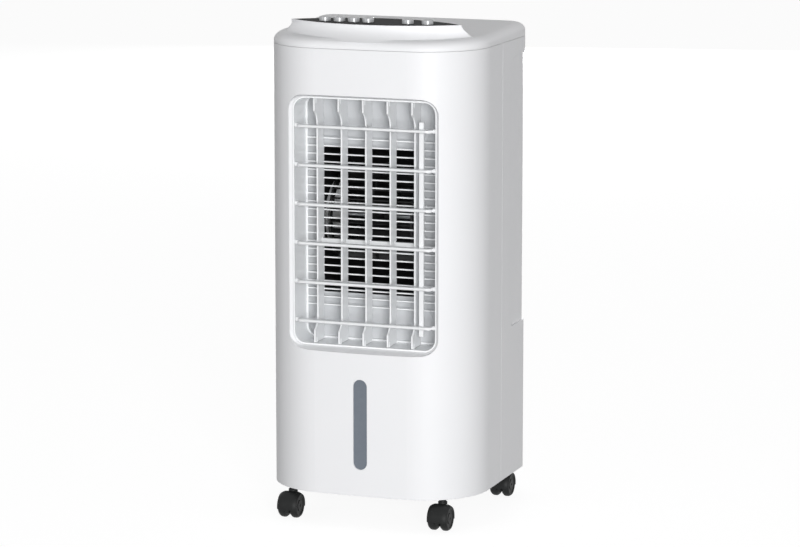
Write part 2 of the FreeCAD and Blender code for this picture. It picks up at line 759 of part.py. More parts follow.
def vane_profile():
    """A vane seen from the side: a tall plate whose ends curve forward to the pivots."""
    half = S.frame_height / 2 - 0.5
    front, rear = S.vane_front, S.vane_rear
    lobe = -4.5
    slot_low, slot_high = LINK_Z - LINK_TALL / 2 - 1.4 - OUTLET_Z, LINK_Z + LINK_TALL / 2 + 1.4 - OUTLET_Z
    wall = S.link_arm - 4.6
    high, low = half - S.vane_lobe, S.vane_lobe - half
    curves = polygon([(lobe, low), (lobe, -half), (rear, -half), (rear, slot_low), (wall, slot_low),
                      (wall, slot_high),
                      (rear, slot_high), (rear, half), (lobe, half), (lobe, high), (front, high - LOBE_FALL),
                      (front, low + LOBE_FALL)])
    middle = (lobe + front) / 2
    curves[9] = Part.Arc(Vector(lobe, high, 0), Vector(middle + 1.2, high - LOBE_FALL / 2 + 1.0, 0),
                         Vector(front, high - LOBE_FALL, 0))
    curves[11] = Part.Arc(Vector(front, low + LOBE_FALL, 0),
                          Vector(middle + 1.2, low + LOBE_FALL / 2 - 1.0, 0),
                          Vector(lobe, low, 0))
    return curves


def vane(index):
    """One upright vane: a plate on its side profile, pivot pins up and down and the pin of the link bar."""
    node = f"vane_{index + 1}"
    place = (f"vane_middle + ({index} - {(VANES - 1) / 2}) * vane_pitch", "vane_inset - body_depth / 2",
             "ground_gap + outlet_bottom + outlet_height / 2")
    owner = new_body(node + "_body", place)
    pad(owner, node + "_plate", sketch(owner, node + "_side", "YZ_Plane", vane_profile()), "vane_thick")
    pin = sketch(owner, node + "_pin", "XY_Plane", [circle(0, 0, S.pivot_diameter)])
    diameter_bound(pin, 0, "pivot_diameter")
    half = S.frame_height / 2
    ends = (("upper", half - 6, half + S.frame_wall - 0.3), ("lower", -vane_reach(index), 6 - half))
    for name, low, high in ends:
        stub = owner.newObject("PartDesign::Pad", f"{node}_{name}")
        stub.Profile = pin
        stub.SideType = "Two sides"
        stub.Length = high
        stub.Length2 = -low
    link = sketch(owner, node + "_link", "XY_Plane", [circle(0, S.link_arm, LINK_PIN)])
    pin_pad = owner.newObject("PartDesign::Pad", node + "_link_pin")
    pin_pad.Profile = link
    pin_pad.SideType = "Two sides"
    pin_pad.Length = LINK_Z - OUTLET_Z + LINK_TALL / 2 + 2.4
    pin_pad.Length2 = -(LINK_Z - OUTLET_Z - LINK_TALL / 2 - 2.4)
    return keep(node, owner)


def vane_reach(index):
    """How far the lower pin runs below the middle: through the frame, and into the motor at the middle vane."""
    deep = S.frame_height / 2 + S.frame_wall - 0.3
    return deep + MOTOR_DROP + MOTOR_BORE_DEEP if index == VANES // 2 else deep


def vane_link_bar():
    """The level bar that makes the vanes swing as one."""
    places = vane_places()
    y = VANE_Y + S.link_arm
    bar = slab((places[0] - 5, y - LINK_THICK / 2, LINK_Z - LINK_TALL / 2),
               (places[-1] + 5, y + LINK_THICK / 2, LINK_Z + LINK_TALL / 2))
    for x in places:
        bar = bar.cut(tube(LINK_PIN + LINK_PLAY, (x, y, LINK_Z - LINK_TALL), 2 * LINK_TALL, (0, 0, 1)))
    return bar


def swing_motor():
    """The flat motor under the frame that swings the middle vane."""
    top = FRAME_LOW - S.frame_wall - MOTOR_DROP
    x = S.vane_middle
    motor = tube(MOTOR_WIDE, (x, VANE_Y, top - MOTOR_TALL), MOTOR_TALL, (0, 0, 1))
    ears = slab((x - 20, VANE_Y - 3, top - 1.2), (x + 20, VANE_Y + 3, top))
    for side in (-1, 1):
        ears = ears.fuse(tube(6, (x + 17 * side, VANE_Y, top - 1.2), MOTOR_DROP + 1.2, (0, 0, 1)))
    bore = tube(S.pivot_diameter + S.pivot_play, (x, VANE_Y, top - MOTOR_BORE_DEEP - 1), 20, (0, 0, 1))
    return motor.fuse(ears).cut(bore).removeSplitter()


keep("outlet_frame", feature("frame", outlet_frame()))
for index, level in enumerate(louvre_levels()):
    keep(f"louvre_{index + 1}", feature(f"louvre_{index + 1}_solid", louvre(level)))
keep("louvre_tie_bar", feature("tie_bar", louvre_tie_bar()))
for index in range(VANES):
    vane(index)
keep("vane_link_bar", feature("link_bar", vane_link_bar()))
keep("swing_motor", feature("swing_motor_solid", swing_motor()))


# ---------------------------------------------------------------- guard, duct and blower
GUARD_OVERLAP = 34.0
SCROLL_LEFT = S.scroll_x - S.scroll_width / 2
SCROLL_RIGHT = S.scroll_x + S.scroll_width / 2
SCROLL_LOW = SCROLL_Z - S.scroll_height / 2
SCROLL_HIGH = SCROLL_Z + S.scroll_height / 2
SCROLL_Y = SCROLL_FRONT + 23.2
FAN_Y = SCROLL_FRONT + 42.2
INLET_RADIUS = 40.0
BLADES = 24
SHAFT_LEFT = SCROLL_LEFT + 4
SHAFT_RIGHT = SCROLL_RIGHT + S.scroll_wall + 10 + 24
# The uprights stand a little to the left of the second and fourth vanes.
UPRIGHT_ASIDE = 4.1


def guard_grille():
    """The level slats that keep fingers off the blower, in a thin frame."""
    front = FRAME_BACK + S.fit_gap
    grille = frame_block(S.frame_wall, front, GUARD_BACK).cut(frame_block(-2, front - 1, GUARD_BACK + 1))
    half = S.frame_width / 2
    count = int((S.scroll_height + GUARD_OVERLAP) // S.slat_pitch)
    first = SCROLL_Z - (count - 1) * S.slat_pitch / 2
    last = first + (count - 1) * S.slat_pitch
    bars = []
    for index in range(count):
        low = first + index * S.slat_pitch - S.slat_thick / 2
        bars.append(slab((-half, front, low), (half, GUARD_BACK, low + S.slat_thick)))
    for side in (-1, 1):
        x = S.vane_middle + side * S.vane_pitch - UPRIGHT_ASIDE
        bars.append(slab((x - 1, front + 1, first), (x + 1, GUARD_BACK, last)))
    return grille.fuse(bars).removeSplitter()


def outlet_duct():
    """The block that narrows from the frame's opening to the blower's mouth."""
    outer = frame_block(S.frame_wall, DUCT_FRONT, DUCT_BACK)
    mouth = Part.Wire([
        line((SCROLL_LEFT, DUCT_BACK, SCROLL_LOW), (SCROLL_RIGHT, DUCT_BACK, SCROLL_LOW)),
        line((SCROLL_RIGHT, DUCT_BACK, SCROLL_LOW), (SCROLL_RIGHT, DUCT_BACK, SCROLL_HIGH)),
        line((SCROLL_RIGHT, DUCT_BACK, SCROLL_HIGH), (SCROLL_LEFT, DUCT_BACK, SCROLL_HIGH)),
        line((SCROLL_LEFT, DUCT_BACK, SCROLL_HIGH), (SCROLL_LEFT, DUCT_BACK, SCROLL_LOW)),
    ])
    half, low, high = S.frame_width / 2, FRAME_LOW, FRAME_LOW + S.frame_height
    wide = Part.Wire([
        line((-half, DUCT_FRONT, low), (half, DUCT_FRONT, low)),
        line((half, DUCT_FRONT, low), (half, DUCT_FRONT, high)),
        line((half, DUCT_FRONT, high), (-half, DUCT_FRONT, high)),
        line((-half, DUCT_FRONT, high), (-half, DUCT_FRONT, low)),
    ])
    return outer.cut(Part.makeLoft([wide, mouth], True, True))


def scroll_profile(growth):
    """The scroll seen from the side, a U lying on its back, as a face across x."""
    radius = S.scroll_height / 2 + growth
    left = SCROLL_LEFT - growth
    low, high = SCROLL_Z - radius, SCROLL_Z + radius
    return Part.Face(Part.Wire([
        line((left, SCROLL_FRONT, high), (left, SCROLL_FRONT, low)),
        line((left, SCROLL_FRONT, low), (left, SCROLL_Y, low)),
        arc((left, SCROLL_Y, low), (left, SCROLL_Y + radius, SCROLL_Z), (left, SCROLL_Y, high)),
        line((left, SCROLL_Y, high), (left, SCROLL_FRONT, high)),
    ]))


def blower_scroll():
    """The blower's casing: open in front, round behind, with an inlet in each side."""
    grow = S.scroll_wall
    casing = scroll_profile(grow).extrude(Vector(S.scroll_width + 2 * grow, 0, 0))
    hollow = scroll_profile(0).extrude(Vector(S.scroll_width, 0, 0))
    mouth = slab((SCROLL_LEFT, SCROLL_FRONT - 5, SCROLL_LOW), (SCROLL_RIGHT, SCROLL_FRONT + 5, SCROLL_HIGH))
    inlet = tube(2 * INLET_RADIUS, (SCROLL_LEFT - 10, FAN_Y, SCROLL_Z), S.scroll_width + 20, (1, 0, 0))
    return casing.cut(hollow.fuse(mouth)).cut(inlet).removeSplitter()


def blower_wheel():
    """The squirrel-cage wheel: a ring at each end, curved-in blades, and a centre disc on the hub."""
    outer = S.wheel_radius
    inner = outer - S.blade_depth
    left = S.scroll_x - S.wheel_width / 2
    axis = (1, 0, 0)
    wheel = tube(2 * outer, (S.scroll_x - 1, FAN_Y, SCROLL_Z), 2, axis)
    wheel = wheel.fuse(tube(16, (S.scroll_x - 8, FAN_Y, SCROLL_Z), 16, axis))
    parts = []
    for x in (left, left + S.wheel_width - 2.5):
        ring = tube(2 * outer, (x, FAN_Y, SCROLL_Z), 2.5, axis)
        parts.append(ring.cut(tube(2 * inner, (x - 1, FAN_Y, SCROLL_Z), 5, axis)))
    for index in range(BLADES):
        blade = slab((left, -0.6, inner + 0.6), (left + S.wheel_width, 0.6, outer - 0.6))
        blade.rotate(Vector(0, 0, (inner + outer) / 2), Vector(1, 0, 0), 28)
        blade.rotate(Vector(), Vector(1, 0, 0), index * 360 / BLADES)
        blade.translate(Vector(0, FAN_Y, SCROLL_Z))
        parts.append(blade)
    wheel = wheel.fuse(parts)
    bore = tube(S.shaft_diameter, (left - 1, FAN_Y, SCROLL_Z), S.wheel_width + 2, axis)
    return wheel.cut(bore).removeSplitter()


def motor_bracket():
    """A ring with three arms, each on a leg that stands off the scroll's right side."""
    left = SCROLL_RIGHT + S.scroll_wall
    plate, leg_radius = left + 8, INLET_RADIUS + 4
    spider = tube(66, (plate, FAN_Y, SCROLL_Z), 2, (1, 0, 0))
    for index in range(3):
        arm = slab((plate, 0, -4), (plate + 2, leg_radius, 4))
        arm = arm.fuse(tube(8, (left, leg_radius, 0), 10, (1, 0, 0)))
        arm.rotate(Vector(), Vector(1, 0, 0), 120 * index)
        arm.translate(Vector(0, FAN_Y, SCROLL_Z))
        spider = spider.fuse(arm)
    return spider.cut(tube(22, (plate - 1, FAN_Y, SCROLL_Z), 5, (1, 0, 0))).removeSplitter()


def fan_motor():
    """The motor can with its end boss and a bore for the shaft."""
    left = SCROLL_RIGHT + S.scroll_wall + 10
    can = tube(2 * S.motor_radius, (left, FAN_Y, SCROLL_Z), S.motor_length, (1, 0, 0))
    outer_rim = [edge for edge in can.Edges if edge.Closed and edge.BoundBox.XMin > left + 1]
    can = can.makeFillet(3, outer_rim)
    boss = tube(20, (left - 6, FAN_Y, SCROLL_Z), 7, (1, 0, 0))
    bore = tube(S.shaft_diameter + S.pivot_play, (left - 7, FAN_Y, SCROLL_Z), 32, (1, 0, 0))
    return can.fuse(boss).cut(bore).removeSplitter()


keep("guard_grille", feature("guard", guard_grille()))
keep("outlet_duct", feature("duct", outlet_duct()))
keep("blower_scroll", feature("scroll", blower_scroll()))
keep("blower_wheel", feature("wheel", blower_wheel()))
SHAFT_LONG = SHAFT_RIGHT - SHAFT_LEFT
keep("fan_shaft", rod("shaft", "shaft_diameter", SHAFT_LONG, (SHAFT_LEFT, FAN_Y, SCROLL_Z), ALONG_X))
keep("motor_bracket", feature("bracket", motor_bracket()))
keep("fan_motor", feature("motor", fan_motor()))


# ---------------------------------------------------------------- water window and cable gland
def window_lens():
    """The clear strip of the water window: a face in the slot and a flange behind the wall."""
    face = window_slot(-0.2, FRONT + 1.2, FRONT + S.wall + 1)
    flange = window_slot(3, FRONT + S.wall + 0.1, FRONT + S.wall + 1.6)
    return face.fuse(flange).removeSplitter()


def cable_gland():
    """The gland where the mains lead passes the rear wall, sunk level with it."""
    inner = BACK - S.wall - 2.3
    body = tube(GLAND_WIDE - 0.4, (GLAND_X, inner, GLAND_Z), BACK - 0.2 - inner, (0, 1, 0))
    collar = tube(GLAND_WIDE + 4, (GLAND_X, inner, GLAND_Z), 2.2, (0, 1, 0))
    bore = tube(6.5, (GLAND_X, BACK - 20, GLAND_Z), 30, (0, 1, 0))
    return body.fuse(collar).cut(bore).removeSplitter()


keep("window_lens", feature("lens_strip", window_lens()))
keep("cable_gland", feature("gland", cable_gland()))


# ---------------------------------------------------------------- water side
TANK_WALL = 2.5
TANK_LOW = BOTTOM + S.tank_bottom
TANK_HIGH = TANK_LOW + S.tank_height
GRIP_WIDE = 80.0
GRIP_TALL = 20.0
PUMP_X = S.tank_width / 2 - 28
PUMP_BACK = BACK - 8.5
CARTRIDGE_LOW = BOTTOM + S.cartridge_bottom
CARTRIDGE_HIGH = CARTRIDGE_LOW + S.cartridge_height
GRILLE_THICK = 1.9
STEP_Y = BACK - S.recess_depth
PAD_FRAME_FRONT = BACK - 33.5
PAD_EDGE = 6.0
HOSE_X = S.cartridge_width / 2 + 11
HOSE_Y = BACK - 42.5
HOSE_WIDE = 8.0
HOSE_BORE = 5.0
TROUGH_LOW = CARTRIDGE_HIGH + 3.0
TROUGH_TALL = 13.0


def tank_block(half, front, rear, low, bend):
    """A block as tall as the tank, with its two front corners rounded."""
    block = slab((-half, front, low), (half, rear, low + S.tank_height))
    corners = [edge for edge in block.Edges if edge.BoundBox.ZLength > 1 and edge.BoundBox.YMax < front + 1]
    corners = [edge for edge in corners if edge.BoundBox.XLength < 0.01]
    return block.makeFillet(bend, corners)


def water_tank():
    """The open tank that slides out at the rear, with a grip slot high in its rear wall."""
    half = S.tank_width / 2
    tank = tank_block(half, -S.tank_front, BACK, TANK_LOW, 14)
    tank = tank.cut(tank_block(half - TANK_WALL, TANK_WALL - S.tank_front, BACK - TANK_WALL,
                               TANK_LOW + TANK_WALL, 14 - TANK_WALL))
    grip = slab((-GRIP_WIDE / 2, BACK - 10, TANK_HIGH - 12 - GRIP_TALL),
                (GRIP_WIDE / 2, BACK + 5, TANK_HIGH - 12))
    return tank.cut(grip)


def water_pump():
    """The submersible pump: block, inlet slots and outlet spout."""
    low = TANK_LOW + TANK_WALL + 3
    body = slab((PUMP_X - 18, PUMP_BACK - 38, low), (PUMP_X + 18, PUMP_BACK - 4, low + 40))
    upright = [edge for edge in body.Edges if abs(edge.BoundBox.ZLength - 40) < 0.01]
    body = body.makeFillet(4, upright)
    slots = []
    for index in range(5):
        x = PUMP_X - 12 + 6 * index
        slots.append(slab((x, PUMP_BACK - 40, low + 5), (x + 2.5, PUMP_BACK - 36, low + 20)))
    spout = tube(HOSE_BORE, (PUMP_X + 9, PUMP_BACK - 21, low + 38), 12, (0, 0, 1))
    return body.cut(Part.makeCompound(slots)).fuse(spout).removeSplitter()


def pump_bracket():
    """The strip that hangs the pump from the inside of the rear wall, clear of the tank."""
    low = TANK_LOW + TANK_WALL + 3
    top = TANK_HIGH + 12
    strip = slab((PUMP_X - 30, PUMP_BACK - 3.7, low + 10), (PUMP_X - 6, PUMP_BACK - 1.5, top))
    foot = slab((PUMP_X - 30, PUMP_BACK - 3.7, top - 2.2), (PUMP_X - 6, BACK - S.wall - 0.2, top))
    lip = slab((PUMP_X - 30, PUMP_BACK - 3.7, low + 37), (PUMP_X - 6, PUMP_BACK - 1.5, low + 39))
    return strip.fuse([foot, lip]).removeSplitter()


def tube_path(points, share=0.45):
    """Straight runs joined by tangent arcs through the bends of a list of points."""
    edges = []
    start = Vector(*points[0])
    for before, corner, after in zip(points, points[1:], points[2:]):
        here = Vector(*corner)
        back, onward = Vector(*before) - here, Vector(*after) - here
        reach = share * min(back.Length, onward.Length)
        leave, enter = here + back.normalize() * reach, here + onward.normalize() * reach
        turn = math.pi - back.getAngle(onward)
        radius = reach / math.tan(turn / 2)
        toward = (back + onward).normalize()
        middle = here + toward * (math.hypot(reach, radius) - radius)
        edges += [Part.LineSegment(start, leave).toShape(), Part.Arc(leave, middle, enter).toShape()]
        start = enter
    edges.append(Part.LineSegment(start, Vector(*points[-1])).toShape())
    return Part.Wire(edges)


def pump_hose():
    """The hose from the pump's spout up the side of the cartridge to the trough."""
    low = TANK_LOW + TANK_WALL + 3 + 41
    spout = (PUMP_X + 9, PUMP_BACK - 21)
    points = [(*spout, low), (*spout, TANK_HIGH - 2), (HOSE_X - 8, HOSE_Y + 3, TANK_HIGH + 17),
              (HOSE_X, HOSE_Y, TANK_HIGH + 55), (HOSE_X, HOSE_Y, TROUGH_LOW - 0.2)]
    path = tube_path(points)
    rings = [Part.Wire(Part.makeCircle(size / 2, Vector(*points[0])))
             for size in (HOSE_WIDE, HOSE_BORE + 0.1)]
    outer, inner = (path.makePipeShell([ring], True, True) for ring in rings)
    return outer.cut(inner)


def drip_places():
    """The x of the holes that let the trough drip on the pad."""
    return [16 * index - 88 for index in range(12)]


def water_distributor():
    """The trough above the pad, with drip holes and a lug that takes the hose."""
    half = S.cartridge_width / 2 - 3
    low, high = TROUGH_LOW, TROUGH_LOW + TROUGH_TALL
    rear = STEP_Y - S.wall - S.fit_gap
    trough = slab((-half, PAD_FRAME_FRONT, low), (half, rear, high))
    trough = trough.fuse(slab((half - 2, HOSE_Y - 6, low), (HOSE_X + 6, PAD_FRAME_FRONT + 16, high - 4)))
    trough = trough.cut(slab((-half + 2, PAD_FRAME_FRONT + 2, low + 2), (half - 2, rear - 2, high + 1)))
    trough = trough.cut(slab((half - 6, HOSE_Y - 4, low + 2), (HOSE_X + 4, PAD_FRAME_FRONT + 14, high + 1)))
    holes = [tube(2.4, (x, PAD_FRAME_FRONT + 14, low - 1), 5, (0, 0, 1)) for x in drip_places()]
    feed = tube(HOSE_BORE, (HOSE_X, HOSE_Y, low - 1), 5, (0, 0, 1))
    return trough.cut(holes + [feed]).removeSplitter()


def pad_frame():
    """The tray-shaped frame that holds the wet pad."""
    half = S.cartridge_width / 2
    rear = STEP_Y
    frame = slab((-half, PAD_FRAME_FRONT, CARTRIDGE_LOW), (half, rear, CARTRIDGE_HIGH))
    pad_room = slab((-half + 3, PAD_FRAME_FRONT + 2, CARTRIDGE_LOW + 3),
                    (half - 3, rear + 1, CARTRIDGE_HIGH - 3))
    frame = frame.cut(pad_room)
    window = slab((-half + PAD_EDGE + 3, PAD_FRAME_FRONT - 1, CARTRIDGE_LOW + PAD_EDGE + 3),
                  (half - PAD_EDGE - 3, PAD_FRAME_FRONT + 3, CARTRIDGE_HIGH - PAD_EDGE - 3))
    frame = frame.cut(window)
    bars = [slab((x - 1.5, PAD_FRAME_FRONT, CARTRIDGE_LOW + 4),
                 (x + 1.5, PAD_FRAME_FRONT + 2, CARTRIDGE_HIGH - 4))
            for x in (-45, 0, 45)]
    drips = [tube(3, (x, PAD_FRAME_FRONT + 14, CARTRIDGE_HIGH - 5), 10, (0, 0, 1)) for x in drip_places()]
    return frame.fuse(bars).cut(drips).removeSplitter()


def rear_grille():
    """The louvred plate over the intake, level with the case behind the step."""
    half = S.cartridge_width / 2 + 9
    low, high = CARTRIDGE_LOW - 3, CARTRIDGE_HIGH + 1.5
    plate = slab((-half, STEP_Y + 0.2, low), (half, STEP_Y + 0.2 + GRILLE_THICK, high))
    upright = [edge for edge in plate.Edges if abs(edge.BoundBox.YLength - GRILLE_THICK) < 0.01]
    plate = plate.makeFillet(6, upright)
    rows = int((high - low - 26) // 9)
    first = (low + high) / 2 - (rows - 1) * 4.5
    slots = []
    for index in range(rows):
        z = first + 9 * index
        for left, right in ((-half + 14, -32), (-27, 27), (32, half - 14)):
            slots.append(slab((left, BACK - 10, z - 2.5), (right, BACK + 5, z + 2.5)))
    return plate.cut(slots)


keep("water_tank", feature("tank", water_tank()))
keep("water_pump", feature("pump", water_pump()))
keep("pump_bracket", feature("pump_strip", pump_bracket()))
keep("pump_hose", feature("hose", pump_hose()))
keep("water_distributor", feature("trough", water_distributor()))
keep("pad_frame", feature("pad_tray", pad_frame()))
pad_rise = CARTRIDGE_HIGH - CARTRIDGE_LOW - 6.6
keep("cooling_pad", box("pad_block", ("cartridge_width - 6.6", "pad_depth", pad_rise),
                        ("3.3 - cartridge_width / 2", PAD_FRAME_FRONT + 2.3, CARTRIDGE_LOW + 3.3)))
keep("dust_filter", box("filter_sheet", ("cartridge_width - 6.6", 2.0, pad_rise),
                        ("3.3 - cartridge_width / 2", STEP_Y - 2.3, CARTRIDGE_LOW + 3.3)))
keep("rear_grille", feature("grille_plate", rear_grille()))


# ---------------------------------------------------------------- casters
WHEEL_Z = S.wheel_diameter / 2
HOOD_PLAY = 0.4
HOOD_WALL = 1.2
HOOD_SKIRT = 3.0
AXLE_WIDE = 3.0
WHEEL_SIDE = S.wheel_gap / 2 + S.wheel_thick


def caster_hood(x, y, way):
    """The web and hood over a pair of wheels, with the stem that turns in the tray's socket."""
    centre = y + way * S.trail
    outer = S.wheel_diameter / 2 + HOOD_PLAY + HOOD_WALL
    half = WHEEL_SIDE + 0.4
    hood = tube(2 * outer, (x - half, centre, WHEEL_Z), 2 * half, (1, 0, 0))
    hood = hood.common(slab((x - 50, centre - 50, WHEEL_Z - HOOD_SKIRT), (x + 50, centre + 50, WHEEL_Z + 50)))
    hood = hood.fuse(tube(12, (x, y, WHEEL_Z + 2), outer - 2, (0, 0, 1)))
    room = tube(S.wheel_diameter + 2 * HOOD_PLAY, (x - 50, centre, WHEEL_Z), 100, (1, 0, 0))
    hood = hood.cut(room)
    web_left = (x - S.wheel_gap / 2 + 0.3, centre, WHEEL_Z)
    web = tube(S.wheel_diameter + 1, web_left, S.wheel_gap - 0.6, (1, 0, 0))
    web = web.cut(slab((x - 50, centre - 50, -10), (x + 50, centre + 50, WHEEL_Z - 7)))
    stem_low = WHEEL_Z + outer - 1.2
    stem = tube(S.stem_diameter, (x, y, stem_low), STEM_TOP - stem_low, (0, 0, 1))
    axle_hole = tube(AXLE_WIDE, (x - 50, centre, WHEEL_Z), 100, (1, 0, 0))
    return hood.fuse([web, stem]).cut(axle_hole).removeSplitter()


def caster_wheels(x, y, way):
    """The two wheels of a caster, each a disc with a rounded tread and a hub recess."""
    centre = y + way * S.trail
    wheels = []
    for side in (-1, 1):
        start = x + side * S.wheel_gap / 2
        wheel = tube(S.wheel_diameter, (start, centre, WHEEL_Z), S.wheel_thick, (side, 0, 0))
        rims = [edge for edge in wheel.Edges if edge.Closed and edge.BoundBox.XLength < 0.01]
        wheel = wheel.makeFillet(1.2, rims)
        dish_place = (start + side * (S.wheel_thick - 1.5), centre, WHEEL_Z)
        dish = tube(S.wheel_diameter - 9, dish_place, 5, (side, 0, 0))
        bore = tube(AXLE_WIDE + S.pivot_play, (start, centre, WHEEL_Z), S.wheel_thick, (side, 0, 0))
        wheels.append(wheel.cut(dish).cut(bore))
    return Part.makeCompound(wheels)


for name, x, y, way in caster_places():
    keep("caster_hood_" + name, feature("hood_" + name, caster_hood(x, y, way)))
    keep("caster_wheels_" + name, feature("wheels_" + name, caster_wheels(x, y, way)))
    axle_start = (x - WHEEL_SIDE + 1.7, y + way * S.trail, WHEEL_Z)
    keep("caster_axle_" + name, rod("axle_" + name, AXLE_WIDE, 2 * (WHEEL_SIDE - 1.7), axle_start, ALONG_X))


# ---------------------------------------------------------------- checks and files
def write_parts():
    """Checks every object, then writes one file for each node."""
    doc.recompute()
    for item in doc.Objects:
        if "Invalid" in item.State or "Error" in item.State:
            raise RuntimeError(f"{item.Label} failed: {item.State}")
    os.makedirs("parts", exist_ok=True)
    for node, item in NODES.items():
        shape = item.Shape
        if shape.isNull() or not shape.isValid() or not shape.Solids:
            raise RuntimeError(f"{node} has no sound solid")
        shape.exportStep(f"parts/{node}.step")
        print(f"{node}: {len(shape.Solids)} solid(s), {shape.Volume / 1000:.2f} cm3")
    print(len(NODES), "nodes")


write_parts()
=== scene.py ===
# %% [markdown]
# ## An upright evaporative cooler
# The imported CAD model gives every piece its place, its size and its body. This file loads it, sets up a camera and
# a plain studio, gives each piece the finish of the real material, and models again the pieces whose soft curves
# the eye meets first: the top cover, the push buttons, the casters, the cooling pad and the dust filter.

import json
import math

import bmesh
import bpy
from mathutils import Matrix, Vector

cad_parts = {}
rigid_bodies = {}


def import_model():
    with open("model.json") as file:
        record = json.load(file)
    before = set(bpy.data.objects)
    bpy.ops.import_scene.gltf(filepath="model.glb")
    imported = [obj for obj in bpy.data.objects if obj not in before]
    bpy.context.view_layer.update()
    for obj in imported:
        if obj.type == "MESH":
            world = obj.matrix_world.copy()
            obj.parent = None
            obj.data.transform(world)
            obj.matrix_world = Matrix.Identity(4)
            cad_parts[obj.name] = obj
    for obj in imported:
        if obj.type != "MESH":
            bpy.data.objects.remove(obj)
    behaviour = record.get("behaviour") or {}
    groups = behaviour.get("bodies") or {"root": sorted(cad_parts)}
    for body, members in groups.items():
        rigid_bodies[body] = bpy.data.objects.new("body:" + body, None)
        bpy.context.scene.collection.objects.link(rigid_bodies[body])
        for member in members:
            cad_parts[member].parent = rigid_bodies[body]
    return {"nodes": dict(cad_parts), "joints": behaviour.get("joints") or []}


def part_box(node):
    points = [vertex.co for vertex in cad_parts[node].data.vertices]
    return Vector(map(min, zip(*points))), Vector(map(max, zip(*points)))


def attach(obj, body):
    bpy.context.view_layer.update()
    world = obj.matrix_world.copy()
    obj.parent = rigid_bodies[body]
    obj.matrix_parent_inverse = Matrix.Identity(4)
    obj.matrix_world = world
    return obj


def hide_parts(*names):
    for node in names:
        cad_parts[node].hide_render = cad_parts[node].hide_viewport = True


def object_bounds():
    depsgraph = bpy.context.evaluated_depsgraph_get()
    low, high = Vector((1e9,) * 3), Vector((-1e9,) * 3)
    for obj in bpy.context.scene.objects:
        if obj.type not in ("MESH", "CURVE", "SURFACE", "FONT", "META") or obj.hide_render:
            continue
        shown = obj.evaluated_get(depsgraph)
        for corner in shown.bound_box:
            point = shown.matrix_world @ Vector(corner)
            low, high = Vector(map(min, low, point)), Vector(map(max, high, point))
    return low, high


MM = 0.001

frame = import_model()
nodes = frame["nodes"]
cad_low, cad_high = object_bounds()
print("pieces", len(nodes), "size mm", [round((b - a) / MM, 1) for a, b in zip(cad_low, cad_high)])

# %% [markdown]
# ## Camera
# The object is seen from its front right and a little above, from far away, so upright edges stay almost parallel.
# A long lens at a measured place gives that; the camera's turn is an upward tilt and a yaw about the vertical.

# %% Camera
CAMERA_PLACE = (1.3396, -3.6841, 0.9625)
CAMERA_PITCH = 10.02
CAMERA_YAW = 19.86
CAMERA_LENS = 158.1
SENSOR_WIDTH = 36.0
FAR_LIMIT = 20.0

camera_data = bpy.data.cameras.new("camera")
camera_data.lens = CAMERA_LENS
camera_data.sensor_width = SENSOR_WIDTH
camera_data.clip_end = FAR_LIMIT
camera = bpy.data.objects.new("camera", camera_data)
camera.location = CAMERA_PLACE
camera.rotation_euler = (math.radians(90 - CAMERA_PITCH), 0, math.radians(CAMERA_YAW))
bpy.context.scene.collection.objects.link(camera)
bpy.context.scene.camera = camera
bpy.context.scene.view_settings.view_transform = "Standard"
print("camera lens", CAMERA_LENS)


# %% [markdown]
# ## Material helpers
# Colours are written as sRGB hex, as a paint chart gives them, and turned to linear once. A node is added by one
# function that takes its settings and its links, so each recipe below reads as a list of what feeds what. Every
# recipe blends two colours, varies the roughness and raises a relief.

# %% Colour and node helpers
def linear(text):
    """An sRGB hex colour as linear red, green, blue and full alpha."""
    parts = [int(text[index:index + 2], 16) / 255 for index in (1, 3, 5)]
    return tuple(v / 12.92 if v <= 0.04045 else ((v + 0.055) / 1.055) ** 2.4 for v in parts) + (1.0,)


def add(material, kind, settings=(), **links):
    """A node in a material or world. Settings name its properties or inputs; links name the inputs outputs feed."""
    node = material.node_tree.nodes.new("ShaderNode" + kind)
    for name, value in dict(settings).items():
        if name in node.inputs.keys():
            node.inputs[name].default_value = value
        else:
            setattr(node, name, value)
    for name, source in links.items():
        socket = node.inputs[int(name[1:])] if name[0] == "_" else node.inputs[name.replace("_", " ")]
        material.node_tree.links.new(source, socket)
    return node


def new_material(name, settings):
    """An empty material with its surface shader, whose even values sit on the shader's own sockets."""
    material = bpy.data.materials.new(name)
    material.use_nodes = True
    material.node_tree.nodes.clear()
    shader = add(material, "BsdfPrincipled", settings)
    add(material, "OutputMaterial", Surface=shader.outputs[0])
    return material, shader


def blended(material, share, first, second):
    """A colour that goes from the first hex colour to the second by a share."""
    blend = add(material, "Mix", {"data_type": "RGBA"}, _0=share)
    blend.inputs[6].default_value = linear(first)
    blend.inputs[7].default_value = linear(second)
    return blend.outputs[2]


def ranged(material, source, low, high):
    """A value that goes from low to high with its source."""
    return add(material, "MapRange", {"To Min": low, "To Max": high}, Value=source).outputs[0]


def relief(material, height, strength, lift_mm, **links):
    """A normal that is raised by a height, by so many millimetres at full strength."""
    return add(material, "Bump", {"Strength": strength, "Distance": lift_mm * MM}, Height=height, **links).outputs[0]


def feed(material, shader, colour, gloss, normal):
    """Links a colour, a roughness and a normal to the shader, and gives back the finished material."""
    for name, source in (("Base Color", colour), ("Roughness", gloss), ("Normal", normal)):
        material.node_tree.links.new(source, shader.inputs[name])
    return material


print("linear mid grey", [round(v, 3) for v in linear("#808080")])


# %% [markdown]
# ## Moulded plastics
# Most of the cooler is injection-moulded plastic. A mould is spark-eroded, so even a glossy part has a fine orange
# peel; the colour drifts a little where the melt flowed; and handling polishes the edges. A noise of a few tenths
# of a millimetre drives the bump, a broad noise drifts colour and gloss, and the Bevel node rounds every edge for
# the light and finds the edges that wear.

